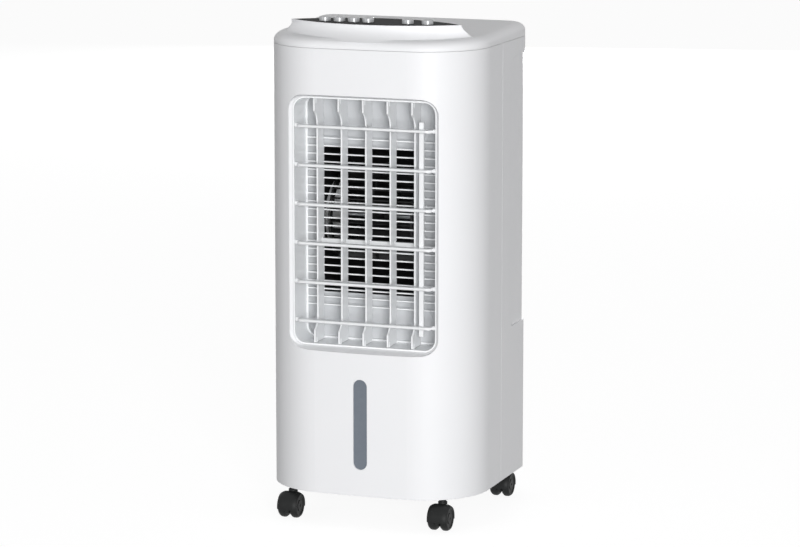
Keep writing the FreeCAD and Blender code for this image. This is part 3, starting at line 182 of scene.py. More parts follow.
# %% Moulded plastic
def moulded(name, main, drift, worn, rough, grain_mm, peel_mm, edge_mm, settings=()):
    """Moulded plastic: main colour, drift and worn-edge colours, roughness, grain size, grain height, edge radius."""
    material, shader = new_material(name, dict(settings))
    place = add(material, "TexCoord").outputs["Object"]
    broad = add(material, "TexNoise", {"Scale": 9.0, "Detail": 2.0}, Vector=place)
    grain = add(material, "TexNoise", {"Scale": 1 / (grain_mm * MM), "Detail": 1.0}, Vector=place)
    blotch = add(material, "TexNoise", {"Scale": 60.0, "Detail": 3.0}, Vector=place)
    rounded = add(material, "Bevel", {"samples": 4, "Radius": edge_mm * MM})
    facing = add(material, "NewGeometry").outputs["Normal"]
    along = add(material, "VectorMath", {"operation": "DOT_PRODUCT"}, _0=rounded.outputs[0], _1=facing)
    edge = add(material, "MapRange", {"From Min": 0.995, "From Max": 0.8, "To Max": 0.6},
               Value=along.outputs["Value"])
    tint = blended(material, broad.outputs[0], main, drift)
    colour = add(material, "Mix", {"data_type": "RGBA"}, _0=edge.outputs[0], _6=tint)
    colour.inputs[7].default_value = linear(worn)
    gloss = ranged(material, blotch.outputs[0], rough - 0.05, rough + 0.05)
    bump = relief(material, grain.outputs[0], 0.6, peel_mm, Normal=rounded.outputs[0])
    print("plastic", name, main, "roughness", rough)
    return feed(material, shader, colour.outputs[2], gloss, bump)


# ABS, spark-eroded to a fine satin: a soft broad highlight and no visible texture at arm's length.
case_white = moulded("abs_satin_white", "#F3F3F5", "#EFF0F2", "#F7F7F8", 0.42, 0.7, 0.012, 0.5,
                     {"Specular IOR Level": 0.22})
# ABS from a polished mould: the frame, louvres, vanes, guard, tank and pad frame shine more than the case.
inner_white = moulded("abs_polished_white", "#F4F5F6", "#EEF0F2", "#F9F9FA", 0.24, 1.1, 0.01, 0.35,
                      {"Specular IOR Level": 0.5})
# Polypropylene for the duct behind the guard: its grey-white is painted shade for the deep duct, which sits in
# shadow, and its gloss is duller than what shows in front.
duct_painted_shade = moulded("polypropylene_painted_shade", "#CED0D2", "#C4C6C9", "#D9DADC", 0.45, 0.9, 0.02, 0.35,
                    {"Specular IOR Level": 0.25})
# Nylon 6 with black pigment: hard, waxy and a little scuffed along its edges.
caster_black = moulded("nylon_black", "#1F2020", "#252626", "#323333", 0.5, 0.5, 0.03, 0.4,
                       {"Specular IOR Level": 0.15})
# Polypropylene with carbon black: the blower wheel and its scroll, matt from a coarse mould.
blower_black = moulded("polypropylene_black", "#0B0B0C", "#121213", "#1D1D1E", 0.55, 0.8, 0.03, 0.3)
# Polypropylene, grey: the pump's casing.
pump_grey = moulded("polypropylene_grey", "#6E7276", "#666A6F", "#83878B", 0.5, 0.8, 0.04, 0.5)
# Phenolic moulding: the bases of the tact switches.
switch_black = moulded("phenolic_black", "#151517", "#1B1B1D", "#2A2A2C", 0.45, 0.4, 0.02, 0.1)
# Nylon 66: the cable gland, with a dry matt skin.
gland_black = moulded("nylon_gland_black", "#161617", "#1C1C1D", "#2C2C2E", 0.5, 0.5, 0.03, 0.3)
# Polycarbonate film over the panel, printed charcoal and etched matt, so that a low view sees no glare on it.
panel_dark = moulded("polycarbonate_film_charcoal", "#2A2A2B", "#2F2F30", "#3B3B3D", 0.6, 0.25, 0.01, 0.3,
                     {"Specular IOR Level": 0.03})
# ABS sprayed with a pearl-silver lacquer: bright, faintly metallic, with a soft gloss.
button_silver = moulded("lacquered_silver", "#B2B3B5", "#A9ABAD", "#CCCCCE", 0.32, 0.25, 0.01, 0.3,
                        {"Metallic": 0.15, "Coat Weight": 0.3, "Coat Roughness": 0.15})


# %% [markdown]
# ## Metals
# The axles, the shaft and the screws are zinc-plated steel: a metal with a fine drawn grain round or along the bar
# and small cloudy patches where the plating took differently. The motor's can is rolled steel, duller and broader.
# A stretched noise draws the grain, and a cell pattern draws the crystals of the zinc.

# %% Plated and rolled steel
def plated(name, main, patch, rough, grain_mm, crystal_mm):
    """Plated steel: main and patch colours, roughness, spacing of the drawn grain and size of the crystals."""
    material, shader = new_material(name, {"Metallic": 1.0})
    place = add(material, "TexCoord").outputs["Object"]
    drawn = add(material, "Mapping", {"Scale": (20.0, 1 / (grain_mm * MM), 1 / (grain_mm * MM))}, Vector=place)
    grain = add(material, "TexNoise", {"Scale": 1.0, "Detail": 2.0}, Vector=drawn.outputs[0])
    crystal = add(material, "TexVoronoi", {"Scale": 1 / (crystal_mm * MM)}, Vector=place)
    tint = blended(material, crystal.outputs["Distance"], main, patch)
    gloss = ranged(material, grain.outputs[0], rough - 0.08, rough + 0.1)
    return feed(material, shader, tint, gloss, relief(material, grain.outputs[0], 0.4, 0.01))


steel = plated("zinc_plated_steel", "#B9BBBD", "#A4A7AB", 0.3, 0.3, 1.5)
motor_steel = plated("rolled_steel", "#9B9EA1", "#85888C", 0.42, 0.5, 4.0)
print("metals", steel.name, motor_steel.name)


# %% [markdown]
# ## The clear and the soft
# The water window is smoked polycarbonate: light goes in, a grey-blue comes back, and its sides look darker. The
# hose is soft PVC. The pad is corrugated kraft paper stiffened with resin, and its fibres show. The dust filter is
# woven nylon. The board is glass fibre under green solder mask, where the copper tracks show as a faint relief.

# %% Clear plastics
def clear(name, tone, cloud, rough, through, haze_mm):
    """Clear plastic: its tone, cloud colour, roughness, how much light goes through and the size of its haze."""
    material, shader = new_material(name, {"Transmission Weight": through, "IOR": 1.55})
    place = add(material, "TexCoord").outputs["Object"]
    haze = add(material, "TexNoise", {"Scale": 1 / (haze_mm * MM), "Detail": 2.0}, Vector=place)
    tint = blended(material, haze.outputs[0], tone, cloud)
    gloss = ranged(material, haze.outputs[0], rough, rough + 0.06)
    return feed(material, shader, tint, gloss, relief(material, haze.outputs[0], 0.3, 0.01))


window_clear = clear("polycarbonate_smoked", "#7E8792", "#757E8A", 0.12, 0.25, 6.0)
hose_clear = clear("pvc_clear", "#DDE3E2", "#CFD6D6", 0.2, 0.8, 3.0)
print("clear", window_clear.name, hose_clear.name)


# %% Paper, weave and board
def fibrous(name, main, dark, rough, fibre_mm, lift_mm):
    """Paper: long fibres pressed flat, in two crossing directions."""
    material, shader = new_material(name, {"Sheen Weight": 0.1})
    place = add(material, "TexCoord").outputs["Object"]
    long = add(material, "Mapping", {"Scale": (0.15, 1.0, 1.0)}, Vector=place)
    first = add(material, "TexNoise", {"Scale": 1 / (fibre_mm * MM), "Detail": 4.0}, Vector=long.outputs[0])
    second = add(material, "TexNoise", {"Scale": 0.6 / (fibre_mm * MM), "Detail": 3.0}, Vector=place)
    both = add(material, "Math", {"operation": "MULTIPLY"}, _0=first.outputs[0], _1=second.outputs[0])
    tint = blended(material, both.outputs[0], main, dark)
    gloss = ranged(material, second.outputs[0], rough, rough + 0.1)
    return feed(material, shader, tint, gloss, relief(material, both.outputs[0], 0.7, lift_mm))


def woven(name, main, shade, rough, thread_mm):
    """Woven nylon: two sets of bands at a right angle lift the crossings of the threads."""
    material, shader = new_material(name, {"Sheen Weight": 0.2})
    place = add(material, "TexCoord").outputs["Object"]
    spacing = 1 / (thread_mm * MM)
    warp = add(material, "TexWave", {"bands_direction": "X", "Scale": spacing / 20}, Vector=place)
    weft = add(material, "TexWave", {"bands_direction": "Z", "Scale": spacing / 20}, Vector=place)
    weave = add(material, "Math", {"operation": "MAXIMUM"}, _0=warp.outputs["Fac"], _1=weft.outputs["Fac"])
    tint = blended(material, weave.outputs[0], shade, main)
    gloss = ranged(material, weave.outputs[0], rough, rough + 0.15)
    return feed(material, shader, tint, gloss, relief(material, weave.outputs[0], 0.6, 0.1))


def masked_board(name, main, track, rough, track_mm):
    """A circuit board: tracks run under the solder mask as raised, paler lines."""
    material, shader = new_material(name, {"Coat Weight": 0.3})
    place = add(material, "TexCoord").outputs["Object"]
    tracks = add(material, "TexBrick", {"Scale": 1 / (8 * track_mm * MM), "Mortar Size": 0.06}, Vector=place)
    speck = add(material, "TexNoise", {"Scale": 1500.0}, Vector=place)
    tint = blended(material, tracks.outputs["Fac"], main, track)
    gloss = ranged(material, speck.outputs[0], rough, rough + 0.1)
    return feed(material, shader, tint, gloss, relief(material, tracks.outputs["Fac"], 0.5, 0.035))


pad_paper = fibrous("kraft_paper_resin", "#B8925F", "#8E6A3E", 0.75, 0.4, 0.05)
filter_mesh = woven("woven_nylon_grey", "#5B5E61", "#3B3D40", 0.5, 1.2)
board_green = masked_board("solder_mask_green", "#1E5B38", "#2F7A4E", 0.3, 0.5)

FINISHES = {
    "case_white": case_white, "inner_white": inner_white, "button_silver": button_silver, "panel_dark": panel_dark,
    "caster_black": caster_black, "steel": steel, "motor_steel": motor_steel, "blower_black": blower_black,
    "window_clear": window_clear, "pad_paper": pad_paper, "filter_mesh": filter_mesh, "board_green": board_green,
    "switch_black": switch_black, "pump_grey": pump_grey, "hose_clear": hose_clear, "gland_black": gland_black,
}

# %% Finishes on the carried-over pieces
slot_of = {name: item.material_slots[0].material.name for name, item in nodes.items()}
for name, item in nodes.items():
    item.material_slots[0].material = FINISHES[slot_of[name]]
# The duct behind the guard takes the grey that paints its shade.
nodes["outlet_duct"].material_slots[0].material = duct_painted_shade
print("finishes in use", sorted(set(slot_of.values())))


# %% [markdown]
# ## Modelling by hand, in code
# The new pieces start as primitives and are shaped in edit mode, as with mouse and keys. An operator works on all
# that is selected, so the helpers below clear the selection, then choose faces or edges by where they are or which
# way they face. A finished piece has its place in its mesh, rides on its body and is named for its node.

# %% Selection and edit helpers
def clear_selection():
    """Leaves edit mode and deselects every object."""
    if bpy.context.object and bpy.context.object.mode != "OBJECT":
        bpy.ops.object.mode_set(mode="OBJECT")
    bpy.ops.object.select_all(action="DESELECT")


def pick(*items):
    """Selects these objects and no others, and makes the first one active."""
    clear_selection()
    for item in items:
        item.select_set(True)
    bpy.context.view_layer.objects.active = items[0]


def choose(kind, test):
    """In edit mode, selects only the verts and faces whose place and normal, or edges whose middle and way, pass."""
    bpy.ops.mesh.select_all(action="DESELECT")
    bpy.ops.mesh.select_mode(type=kind)
    mesh = bmesh.from_edit_mesh(bpy.context.object.data)
    items = {"VERT": mesh.verts, "EDGE": mesh.edges, "FACE": mesh.faces}[kind]
    for item in items:
        if kind == "FACE":
            passed = test(item.calc_center_median(), item.normal)
        elif kind == "EDGE":
            ends = [vert.co for vert in item.verts]
            passed = test((ends[0] + ends[1]) / 2, (ends[1] - ends[0]).normalized())
        else:
            passed = test(item.co, item.normal)
        if passed:
            item.select_set(True)
    mesh.select_flush_mode()
    bmesh.update_edit_mesh(bpy.context.object.data)


def looks_up(place, normal):
    """A test for choose: a face that looks straight up."""
    return normal.z > 0.99


def looks_down(place, normal):
    """A test for choose: a face that looks straight down."""
    return normal.z < -0.99


def step_out(rise, scale=(1, 1, 1), middle=(0, 0, 0)):
    """Extrudes the selected faces by a move, then scales them about a middle."""
    bpy.ops.mesh.extrude_region_move(TRANSFORM_OT_translate={"value": rise})
    if scale != (1, 1, 1):
        bpy.ops.transform.resize(value=scale, center_override=middle)


def settle(name):
    """Back in object mode, puts the active object's place in its mesh and names it."""
    bpy.ops.object.mode_set(mode="OBJECT")
    item = bpy.context.object
    bpy.ops.object.transform_apply(location=True, rotation=True, scale=True)
    item.name = name
    item.data.name = name
    return item


def face_outwards():
    """In edit mode, turns every face of a closed mesh to look out."""
    bpy.ops.mesh.select_all(action="SELECT")
    bpy.ops.mesh.normals_make_consistent(inside=False)
    bpy.ops.object.mode_set(mode="OBJECT")


def applied(item, kind, **settings):
    """Adds a modifier to an object, sets it and applies it."""
    pick(item)
    modifier = item.modifiers.new(kind.lower(), kind)
    for name, value in settings.items():
        setattr(modifier, name, value)
    bpy.ops.object.modifier_apply(modifier=modifier.name)
    return item


def joined_solid(item, tool, operation):
    """Unites, cuts or intersects an object with a tool, which is then removed."""
    applied(item, "BOOLEAN", operation=operation, solver="EXACT", object=tool)
    bpy.data.objects.remove(tool)
    return item


def joined(*items):
    """Makes one object of several, with their meshes as they are."""
    pick(*items)
    bpy.ops.object.join()


def finished(item, finish, body, node, angle=30.0):
    """Gives the piece its finish and shading, its body and the node that it stands for."""
    pick(item)
    bpy.ops.object.shade_smooth_by_angle(angle=math.radians(angle))
    item.data.materials.clear()
    item.data.materials.append(FINISHES[finish])
    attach(item, body)
    if node:
        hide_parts(node)
    print(item.name, "faces", len(item.data.polygons), "size mm", [round(v / MM, 1) for v in item.dimensions])


def copied(item, name, move):
    """A copy with its own mesh, moved in the mesh."""
    pick(item)
    bpy.ops.object.duplicate()
    bpy.ops.transform.translate(value=move)
    return settle(name)


# %% [markdown]
# ## Push buttons
# Each button is a short round cap with a softly dished top on a flange that keeps it under the panel, and a stem
# below. It could be one turned outline; here a cylinder is started at the cap's size, its rim is bevelled, its top
# is inset and sunk, and its foot is extruded and scaled into the flange and the stem, as one would by hand.

# %% One button, then five copies
BUTTON_FLANGE, FLANGE_THICK = 1.2 * MM, 1.5 * MM
BUTTON_FOOT, BUTTON_STEM_RADIUS = 3.2 * MM, 2.0 * MM
BUTTON_EDGE = 0.9 * MM
BUTTON_DISH = 0.35 * MM
# Steps across a button's top, from its edge in: the flat rim, the fall into the dish and the dish's floor.
BUTTON_TOP = ((0.8 * MM, 0.0), (0.7 * MM, -BUTTON_DISH), (2.2 * MM, -BUTTON_DISH / 2))
HAIR = 0.01 * MM
CAP_SIDES = 64


def model_button(node):
    """A button in the place of its node."""
    low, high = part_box(node)
    middle = (low + high) / 2
    cap = (high.x - low.x) / 2 - BUTTON_FLANGE
    foot = low.z + BUTTON_FOOT
    cap_low = foot + FLANGE_THICK
    clear_selection()
    bpy.ops.mesh.primitive_cylinder_add(vertices=CAP_SIDES, radius=cap, depth=high.z - cap_low,
                                        location=(middle.x, middle.y, (high.z + cap_low) / 2))
    bpy.ops.object.transform_apply(location=True)
    bpy.ops.object.mode_set(mode="EDIT")
    choose("FACE", looks_up)
    bpy.ops.mesh.bevel(offset=BUTTON_EDGE, segments=4)
    choose("FACE", looks_up)
    for wide, deep in BUTTON_TOP:
        bpy.ops.mesh.inset(thickness=wide, depth=deep)
    centre = (middle.x, middle.y, 0)
    wider, narrower = (cap + BUTTON_FLANGE) / cap, BUTTON_STEM_RADIUS / (cap + BUTTON_FLANGE)
    choose("FACE", looks_down)
    step_out((0, 0, -HAIR), (wider, wider, 1), centre)
    step_out((0, 0, -FLANGE_THICK))
    step_out((0, 0, -HAIR), (narrower, narrower, 1), centre)
    step_out((0, 0, low.z - foot))
    return settle(node + "_cap")


button_names = [name for name in nodes if name.startswith("button_")]
first_button = model_button(button_names[0])
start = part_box(button_names[0])[0]
for name in button_names[1:]:
    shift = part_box(name)[0] - start
    finished(copied(first_button, name + "_cap", shift), "button_silver", name, name)
finished(first_button, "button_silver", button_names[0], button_names[0])

# %% [markdown]
# ## Top cover
# The cover is one moulding: a lid with a soft shoulder all round, a deck that rises to the rear, and a raised pod
# whose flanks curve out into the deck like the foot of a vase. A loft of curves could draw it; by hand it is easier
# to start from the outline where it meets the case, and to extrude and narrow that face step by step along a
# quarter oval. It is narrowed by scale and not by inset, because an inset as deep as the shoulder would fold the
# small rear corners over. The pod is the overlap of two big discs, pushed down and widened in steps. Booleans
# unite the two, sink the panel's seat and hollow the inside.

# %% The outline where the cover meets the case
SEAM_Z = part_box("front_housing")[1].z
MERGE, OUTLINE_MERGE = 0.01 * MM, 0.05 * MM


def outline_face(node, height, name):
    """The outer outline of a node, cut from a merged copy at a height, as one face that looks up."""
    pick(nodes[node])
    bpy.ops.object.duplicate()
    item = bpy.context.object
    item.parent = None
    for key in list(item.keys()):
        del item[key]
    bpy.ops.object.mode_set(mode="EDIT")
    bpy.ops.mesh.select_all(action="SELECT")
    bpy.ops.mesh.remove_doubles(threshold=MERGE)
    bpy.ops.mesh.bisect(plane_co=(0, 0, height), plane_no=(0, 0, 1), clear_inner=True, clear_outer=True)
    rearmost = max(vert.co.y for vert in bmesh.from_edit_mesh(item.data).verts)
    choose("VERT", lambda place, normal: place.y > rearmost - MERGE)
    bpy.ops.mesh.select_linked()
    bpy.ops.mesh.select_all(action="INVERT")
    bpy.ops.mesh.delete(type="VERT")
    bpy.ops.mesh.select_all(action="SELECT")
    bpy.ops.mesh.remove_doubles(threshold=OUTLINE_MERGE)
    bpy.ops.mesh.edge_face_add()
    face = next(iter(bmesh.from_edit_mesh(item.data).faces))
    if face.normal.z < 0:
        bpy.ops.mesh.flip_normals()
    item.name = name
    print(name, "outline of", len(face.verts), "points")
    return item


CUT_HEIGHT = SEAM_Z + 1.2 * MM
COVER_LOW = SEAM_Z + 0.3 * MM
COVER_SKIRT = 1.2 * MM

cover = outline_face("top_cover", CUT_HEIGHT, "cover_shell")
bpy.ops.transform.translate(value=(0, 0, COVER_LOW - CUT_HEIGHT))

# %% The shoulder and the deck
SHOULDER, SHOULDER_RISE = 12.5 * MM, 9.5 * MM
SHOULDER_STEPS = 9
DECK_SLOPE = math.radians(1.6)
HALF_WIDE, HALF_DEEP = (cad_high.x - cad_low.x) / 2, (cad_high.y - cad_low.y) / 2

step_out((0, 0, COVER_SKIRT))
bpy.ops.transform.rotate(value=-DECK_SLOPE, orient_axis="X",
                         center_override=(0, cad_low.y, COVER_LOW + COVER_SKIRT))
ring = [vert.co for vert in bmesh.from_edit_mesh(cover.data).verts if vert.select]
print("deck rises towards the rear", max(ring, key=lambda co: co.y).z > min(ring, key=lambda co: co.y).z)
quarter = [index * math.pi / 2 / SHOULDER_STEPS for index in range(SHOULDER_STEPS + 1)]
for near, far in zip(quarter, quarter[1:]):
    taken, goal = SHOULDER * (1 - math.cos(near)), SHOULDER * (1 - math.cos(far))
    step_out((0, 0, SHOULDER_RISE * (math.sin(far) - math.sin(near))),
             ((HALF_WIDE - goal) / (HALF_WIDE - taken), (HALF_DEEP - goal) / (HALF_DEEP - taken), 1))
face_outwards()
print("lid faces", len(cover.data.polygons))


# %% The pod, from two discs
DISC_SIDES = 360


def disc(radius, middle_y, low, high):
    """A tall round disc with its middle on x = 0."""
    clear_selection()
    bpy.ops.mesh.primitive_cylinder_add(vertices=DISC_SIDES, radius=radius, depth=high - low,
                                        location=(0, middle_y, (low + high) / 2))
    bpy.ops.object.transform_apply(location=True)
    return bpy.context.object


def lens(half, tip_y, front, rear, low, high):
    """A pointed oval: the overlap of a disc that bounds its front and one that bounds its rear."""
    ahead, behind = tip_y - front, rear - tip_y
    front_radius = (half ** 2 + ahead ** 2) / (2 * ahead)
    rear_radius = (half ** 2 + behind ** 2) / (2 * behind)
    first = disc(front_radius, front + front_radius, low, high)
    return joined_solid(first, disc(rear_radius, rear - rear_radius, low - MM, high + MM), "INTERSECT")


panel_low, panel_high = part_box("control_panel")
PANEL_HALF = (panel_high.x - panel_low.x) / 2
PANEL_TIP = max(nodes["control_panel"].data.vertices, key=lambda vert: vert.co.x).co.y
POD_FOOT = SEAM_Z + 8 * MM
POD_LIP = MM
POD_STEPS = 9
RIM = 1.1 * MM
FLARE_FRONT, FLARE_TIP, FLARE_REAR = 16.0 * MM, 20.0 * MM, 34.0 * MM


def flared_pod(shrink, top, foot):
    """The pod from its top down: each step lower is wider, most at the foot, and its rear reaches further back."""
    half = PANEL_HALF + 2 * RIM - shrink
    front, rear = panel_low.y - RIM + shrink, panel_high.y + RIM - shrink
    item = lens(half, PANEL_TIP, front, rear, top - POD_LIP, top)
    bpy.ops.object.mode_set(mode="EDIT")
    choose("FACE", looks_down)
    drop = (top - POD_LIP - foot) / POD_STEPS
    now = (half, front, rear)
    for index in range(1, POD_STEPS + 1):
        share = index / POD_STEPS
        bow = share ** 2
        goal = (half + FLARE_TIP * bow, front - FLARE_FRONT * bow, rear + FLARE_REAR * share)
        wide = (goal[2] - goal[1]) / (now[2] - now[1])
        middle = (goal[1] - wide * now[1]) / (1 - wide)
        step_out((0, 0, -drop), (goal[0] / now[0], wide, 1), (0, middle, 0))
        now = goal
    bpy.ops.object.mode_set(mode="OBJECT")
    return item


pod = flared_pod(0, panel_high.z, POD_FOOT)
print("pod size mm", [round(v / MM, 1) for v in pod.dimensions])
joined_solid(cover, pod, "UNION")

# %% The panel's seat and the hollow
SHELF_LOW = panel_low.z - 3 * MM
HOLLOW_INSET = 5 * MM
HOLLOW_LOW, HOLLOW_HIGH = SEAM_Z - 2 * MM, SEAM_Z + 9 * MM
POD_WALL = 4 * MM
SEAT_PLAY = 0.15 * MM
PAST = 2 * MM

seat = lens(PANEL_HALF + 2 * SEAT_PLAY, PANEL_TIP, panel_low.y - SEAT_PLAY, panel_high.y + SEAT_PLAY, panel_low.z,
            panel_high.z + PAST)
joined_solid(cover, seat, "DIFFERENCE")
hollow = outline_face("top_cover", CUT_HEIGHT, "cover_hollow")
bpy.ops.transform.translate(value=(0, 0, HOLLOW_LOW - CUT_HEIGHT))
bpy.ops.transform.resize(value=(1 - HOLLOW_INSET / HALF_WIDE, 1 - HOLLOW_INSET / HALF_DEEP, 1),
                         center_override=(0, 0, 0))
step_out((0, 0, HOLLOW_HIGH - HOLLOW_LOW))
face_outwards()
joined_solid(cover, hollow, "DIFFERENCE")
joined_solid(cover, flared_pod(POD_WALL, SHELF_LOW, HOLLOW_HIGH), "DIFFERENCE")
print("cover faces", len(cover.data.polygons))


# %% Button holes
BUTTON_PLAY = 0.3 * MM
ROD_SIDES = 48


def upright_rod(place_x, place_y, radius, low, high):
    """An upright round rod that cuts a hole or makes a stud."""
    clear_selection()
    bpy.ops.mesh.primitive_cylinder_add(vertices=ROD_SIDES, radius=radius, depth=high - low,
                                        location=(place_x, place_y, (low + high) / 2))
    bpy.ops.object.transform_apply(location=True)
    return bpy.context.object


for name in button_names:
    low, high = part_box(name)
    radius = (high.x - low.x) / 2 - BUTTON_FLANGE + BUTTON_PLAY
    hole = upright_rod((low.x + high.x) / 2, (low.y + high.y) / 2, radius, SHELF_LOW - PAST, panel_high.z + PAST)
    joined_solid(cover, hole, "DIFFERENCE")
print("holes", len(button_names))

# %% Studs that carry the switch board
STUD_RADIUS, STUD_INSET = 3 * MM, 4 * MM
board_low, board_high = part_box("switch_board")
by_place = sorted((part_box(name) for name in button_names), key=lambda box: box[0].x)
fourth_button, fifth_button = by_place[3:5]
stud_places = (board_low.x + STUD_INSET, (fourth_button[1].x + fifth_button[0].x) / 2, board_high.x - STUD_INSET)
for place_x in stud_places:
    stud = upright_rod(place_x, (board_low.y + board_high.y) / 2, STUD_RADIUS, board_high.z, SHELF_LOW + MM / 2)
    joined_solid(cover, stud, "UNION")
print("studs at x mm", [round(v / MM, 1) for v in stud_places])
applied(cover, "WEIGHTED_NORMAL", keep_sharp=True)
finished(cover, "case_white", "chassis", "top_cover")

# %% [markdown]
# ## Casters
# A twin-wheel caster has a hood like a small barrel, a web between its wheels and a stem. The wheels are barrels
# too: their treads run flat and then round over to the side, and their inner edges are cut back, which leaves the
# notch seen between them. Both start as cylinders that lie along x. Their long edges are subdivided into rings, and
# each ring is scaled to the profile. One hood and one pair of wheels are modelled, then copied to the other corners.

# %% Rings along a lying cylinder
BARREL_SIDES, BORE_SIDES = 72, 32
BARREL_CUTS = {"wheel": 9, "hood": 11}
SAME_RING = 0.005 * MM


def lying_rod(middle, radius, half, cuts=1, sides=BARREL_SIDES):
    """A round rod along x, cut into rings, in edit mode."""
    clear_selection()
    bpy.ops.mesh.primitive_cylinder_add(vertices=sides, radius=radius, depth=2 * half, location=middle,
                                        rotation=(0, math.pi / 2, 0))
    bpy.ops.object.transform_apply(location=True, rotation=True)
    bpy.ops.object.mode_set(mode="EDIT")
    choose("EDGE", lambda place, way: abs(way.x) > 0.99)
    bpy.ops.mesh.subdivide(number_cuts=cuts)
    return bpy.context.object


def scale_rings(item, middle, half, profile):
    """Scales each ring of a lying rod about its axis, by the profile's value at its share of the half length."""
    places = sorted({round(vert.co.x, 6) for vert in bmesh.from_edit_mesh(item.data).verts})
    for place_x in places:
        size = profile((place_x - middle.x) / half)
        choose("VERT", lambda place, normal: abs(place.x - place_x) < SAME_RING)
        bpy.ops.transform.resize(value=(1, size, size), center_override=middle)
    return item


def rounding(share, start, fall):
    """Radius share that is full up to the start, then curves in and loses the fall by the end."""
    return 1.0 - fall * max(0.0, (share - start) / (1.0 - start)) ** 2


CORNERS = ["front_left", "front_right", "rear_left", "rear_right"]
joint_place = {joint["name"]: Vector(joint["pos_m"]) for joint in frame["joints"] if joint.get("pos_m")}
print("stems at", [round(joint_place[f"caster_{c}_swivel"].x / MM, 1) for c in CORNERS])

# %% A pair of wheels
WHEEL_BORE = 1.55 * MM
WHEEL_HALF = 4.5 * MM
TREAD_END, WHEEL_FALL = 0.2, 0.14
CUT_BACK = 0.5
# Steps across a wheel's side, from the tread in: a flat rim, a fall to the dish, the dish and the raised hub.
WHEEL_FACE = ((1.6 * MM, 0.0), (0.5 * MM, -0.8 * MM), (3.6 * MM, -0.4 * MM), (0.3 * MM, 0.9 * MM))


def wheel_profile(share, side):
    """Radius share of a wheel, from its inner face at -side to its outer face at side."""
    outward = share * side
    if outward < CUT_BACK - 1.0:
        return 1.0 - WHEEL_FALL * (1.0 - (outward + 1.0) / CUT_BACK)
    return rounding(outward, TREAD_END, WHEEL_FALL)


def model_wheels(corner):
    """Both wheels of a caster, one object."""
    low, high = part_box("caster_wheels_" + corner)
    centre = (low + high) / 2
    radius = (high.z - low.z) / 2
    pair = []
    for side in (-1, 1):
        middle = Vector((centre.x + side * ((high.x - low.x) / 2 - WHEEL_HALF), centre.y, centre.z))
        wheel = lying_rod(middle, radius, WHEEL_HALF, BARREL_CUTS["wheel"])
        scale_rings(wheel, middle, WHEEL_HALF, lambda share: wheel_profile(share, side))
        choose("FACE", lambda place, normal: normal.x * side > 0.99)
        for wide, deep in WHEEL_FACE:
            bpy.ops.mesh.inset(thickness=wide, depth=deep)
        bore = lying_rod(middle, WHEEL_BORE, 2 * WHEEL_HALF, sides=BORE_SIDES)
        pair.append(joined_solid(wheel, bore, "DIFFERENCE"))
    joined(*pair)
    return settle("wheels_" + corner)


first_wheels = model_wheels(CORNERS[0])
wheel_start = sum(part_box("caster_wheels_" + CORNERS[0]), Vector()) / 2
wheel_pairs = {CORNERS[0]: first_wheels}
for corner in CORNERS[1:]:
    shift = sum(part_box("caster_wheels_" + corner), Vector()) / 2 - wheel_start
    wheel_pairs[corner] = copied(first_wheels, "wheels_" + corner, shift)
for corner, pair in wheel_pairs.items():
    finished(pair, "caster_black", "wheels_" + corner, "caster_wheels_" + corner)

# %% The hood
HOOD_WALL, HOOD_AIR = 1.2 * MM, 1.6 * MM
SKIRT = 3.0 * MM
COLLAR_RADIUS, STEM_RADIUS, AXLE_RADIUS = 5.2 * MM, 4.0 * MM, 1.5 * MM
WEB_HALF, WEB_BELOW, WEB_RISE = 2.2 * MM, 7.0 * MM, 0.5 * MM
SIDE_AIR = 0.4 * MM
BARREL_END, HOOD_FALL = 0.5, 0.15
COLLAR_SINK = 2.0 * MM
HOOD_EDGE, SHARP_EDGE = 0.25 * MM, math.radians(50)
# The room inside runs a little past the hood's ends, and is a little slimmer than the hood there.
ROOM_PAST, ROOM_SLIMMER = 1.02, 0.004


def hood_profile(share):
    """Radius share of the hood: flat in the middle, rounding in towards its ends."""
    return rounding(abs(share), BARREL_END, HOOD_FALL)


def cut_below(height):
    """In edit mode, cuts away what lies below a height and closes the cut."""
    bpy.ops.mesh.select_all(action="SELECT")
    bpy.ops.mesh.bisect(plane_co=(0, 0, height), plane_no=(0, 0, 1), use_fill=True, clear_inner=True)


def model_hood(corner):
    """Hood, web, collar and stem as one solid."""
    low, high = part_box("caster_wheels_" + corner)
    centre = (low + high) / 2
    stem = joint_place[f"caster_{corner}_swivel"]
    wheel_radius = (high.z - low.z) / 2
    outer = wheel_radius + HOOD_AIR
    half = (high.x - low.x) / 2 + SIDE_AIR
    hood = scale_rings(lying_rod(centre, outer, half, BARREL_CUTS["hood"]), centre, half, hood_profile)
    cut_below(centre.z - SKIRT)
    collar = upright_rod(stem.x, stem.y, COLLAR_RADIUS, centre.z + COLLAR_SINK, centre.z + outer + HOOD_AIR)
    joined_solid(hood, collar, "UNION")
    room_half = half * ROOM_PAST
    room = lying_rod(centre, outer - HOOD_WALL, room_half, BARREL_CUTS["hood"])
    scale_rings(room, centre, room_half, lambda share: hood_profile(share) - ROOM_SLIMMER)
    joined_solid(hood, room, "DIFFERENCE")
    web = lying_rod(centre, wheel_radius + WEB_RISE, WEB_HALF)
    cut_below(centre.z - WEB_BELOW)
    joined_solid(hood, web, "UNION")
    stem_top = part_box("caster_hood_" + corner)[1].z
    post = upright_rod(stem.x, stem.y, STEM_RADIUS, centre.z + outer - HOOD_WALL, stem_top)
    joined_solid(hood, post, "UNION")
    hole = lying_rod(centre, AXLE_RADIUS, 2 * WEB_HALF, sides=BORE_SIDES)
    joined_solid(hood, hole, "DIFFERENCE")
    applied(hood, "BEVEL", width=HOOD_EDGE, segments=2, limit_method="ANGLE", angle_limit=SHARP_EDGE)
    return settle("hood_" + corner)


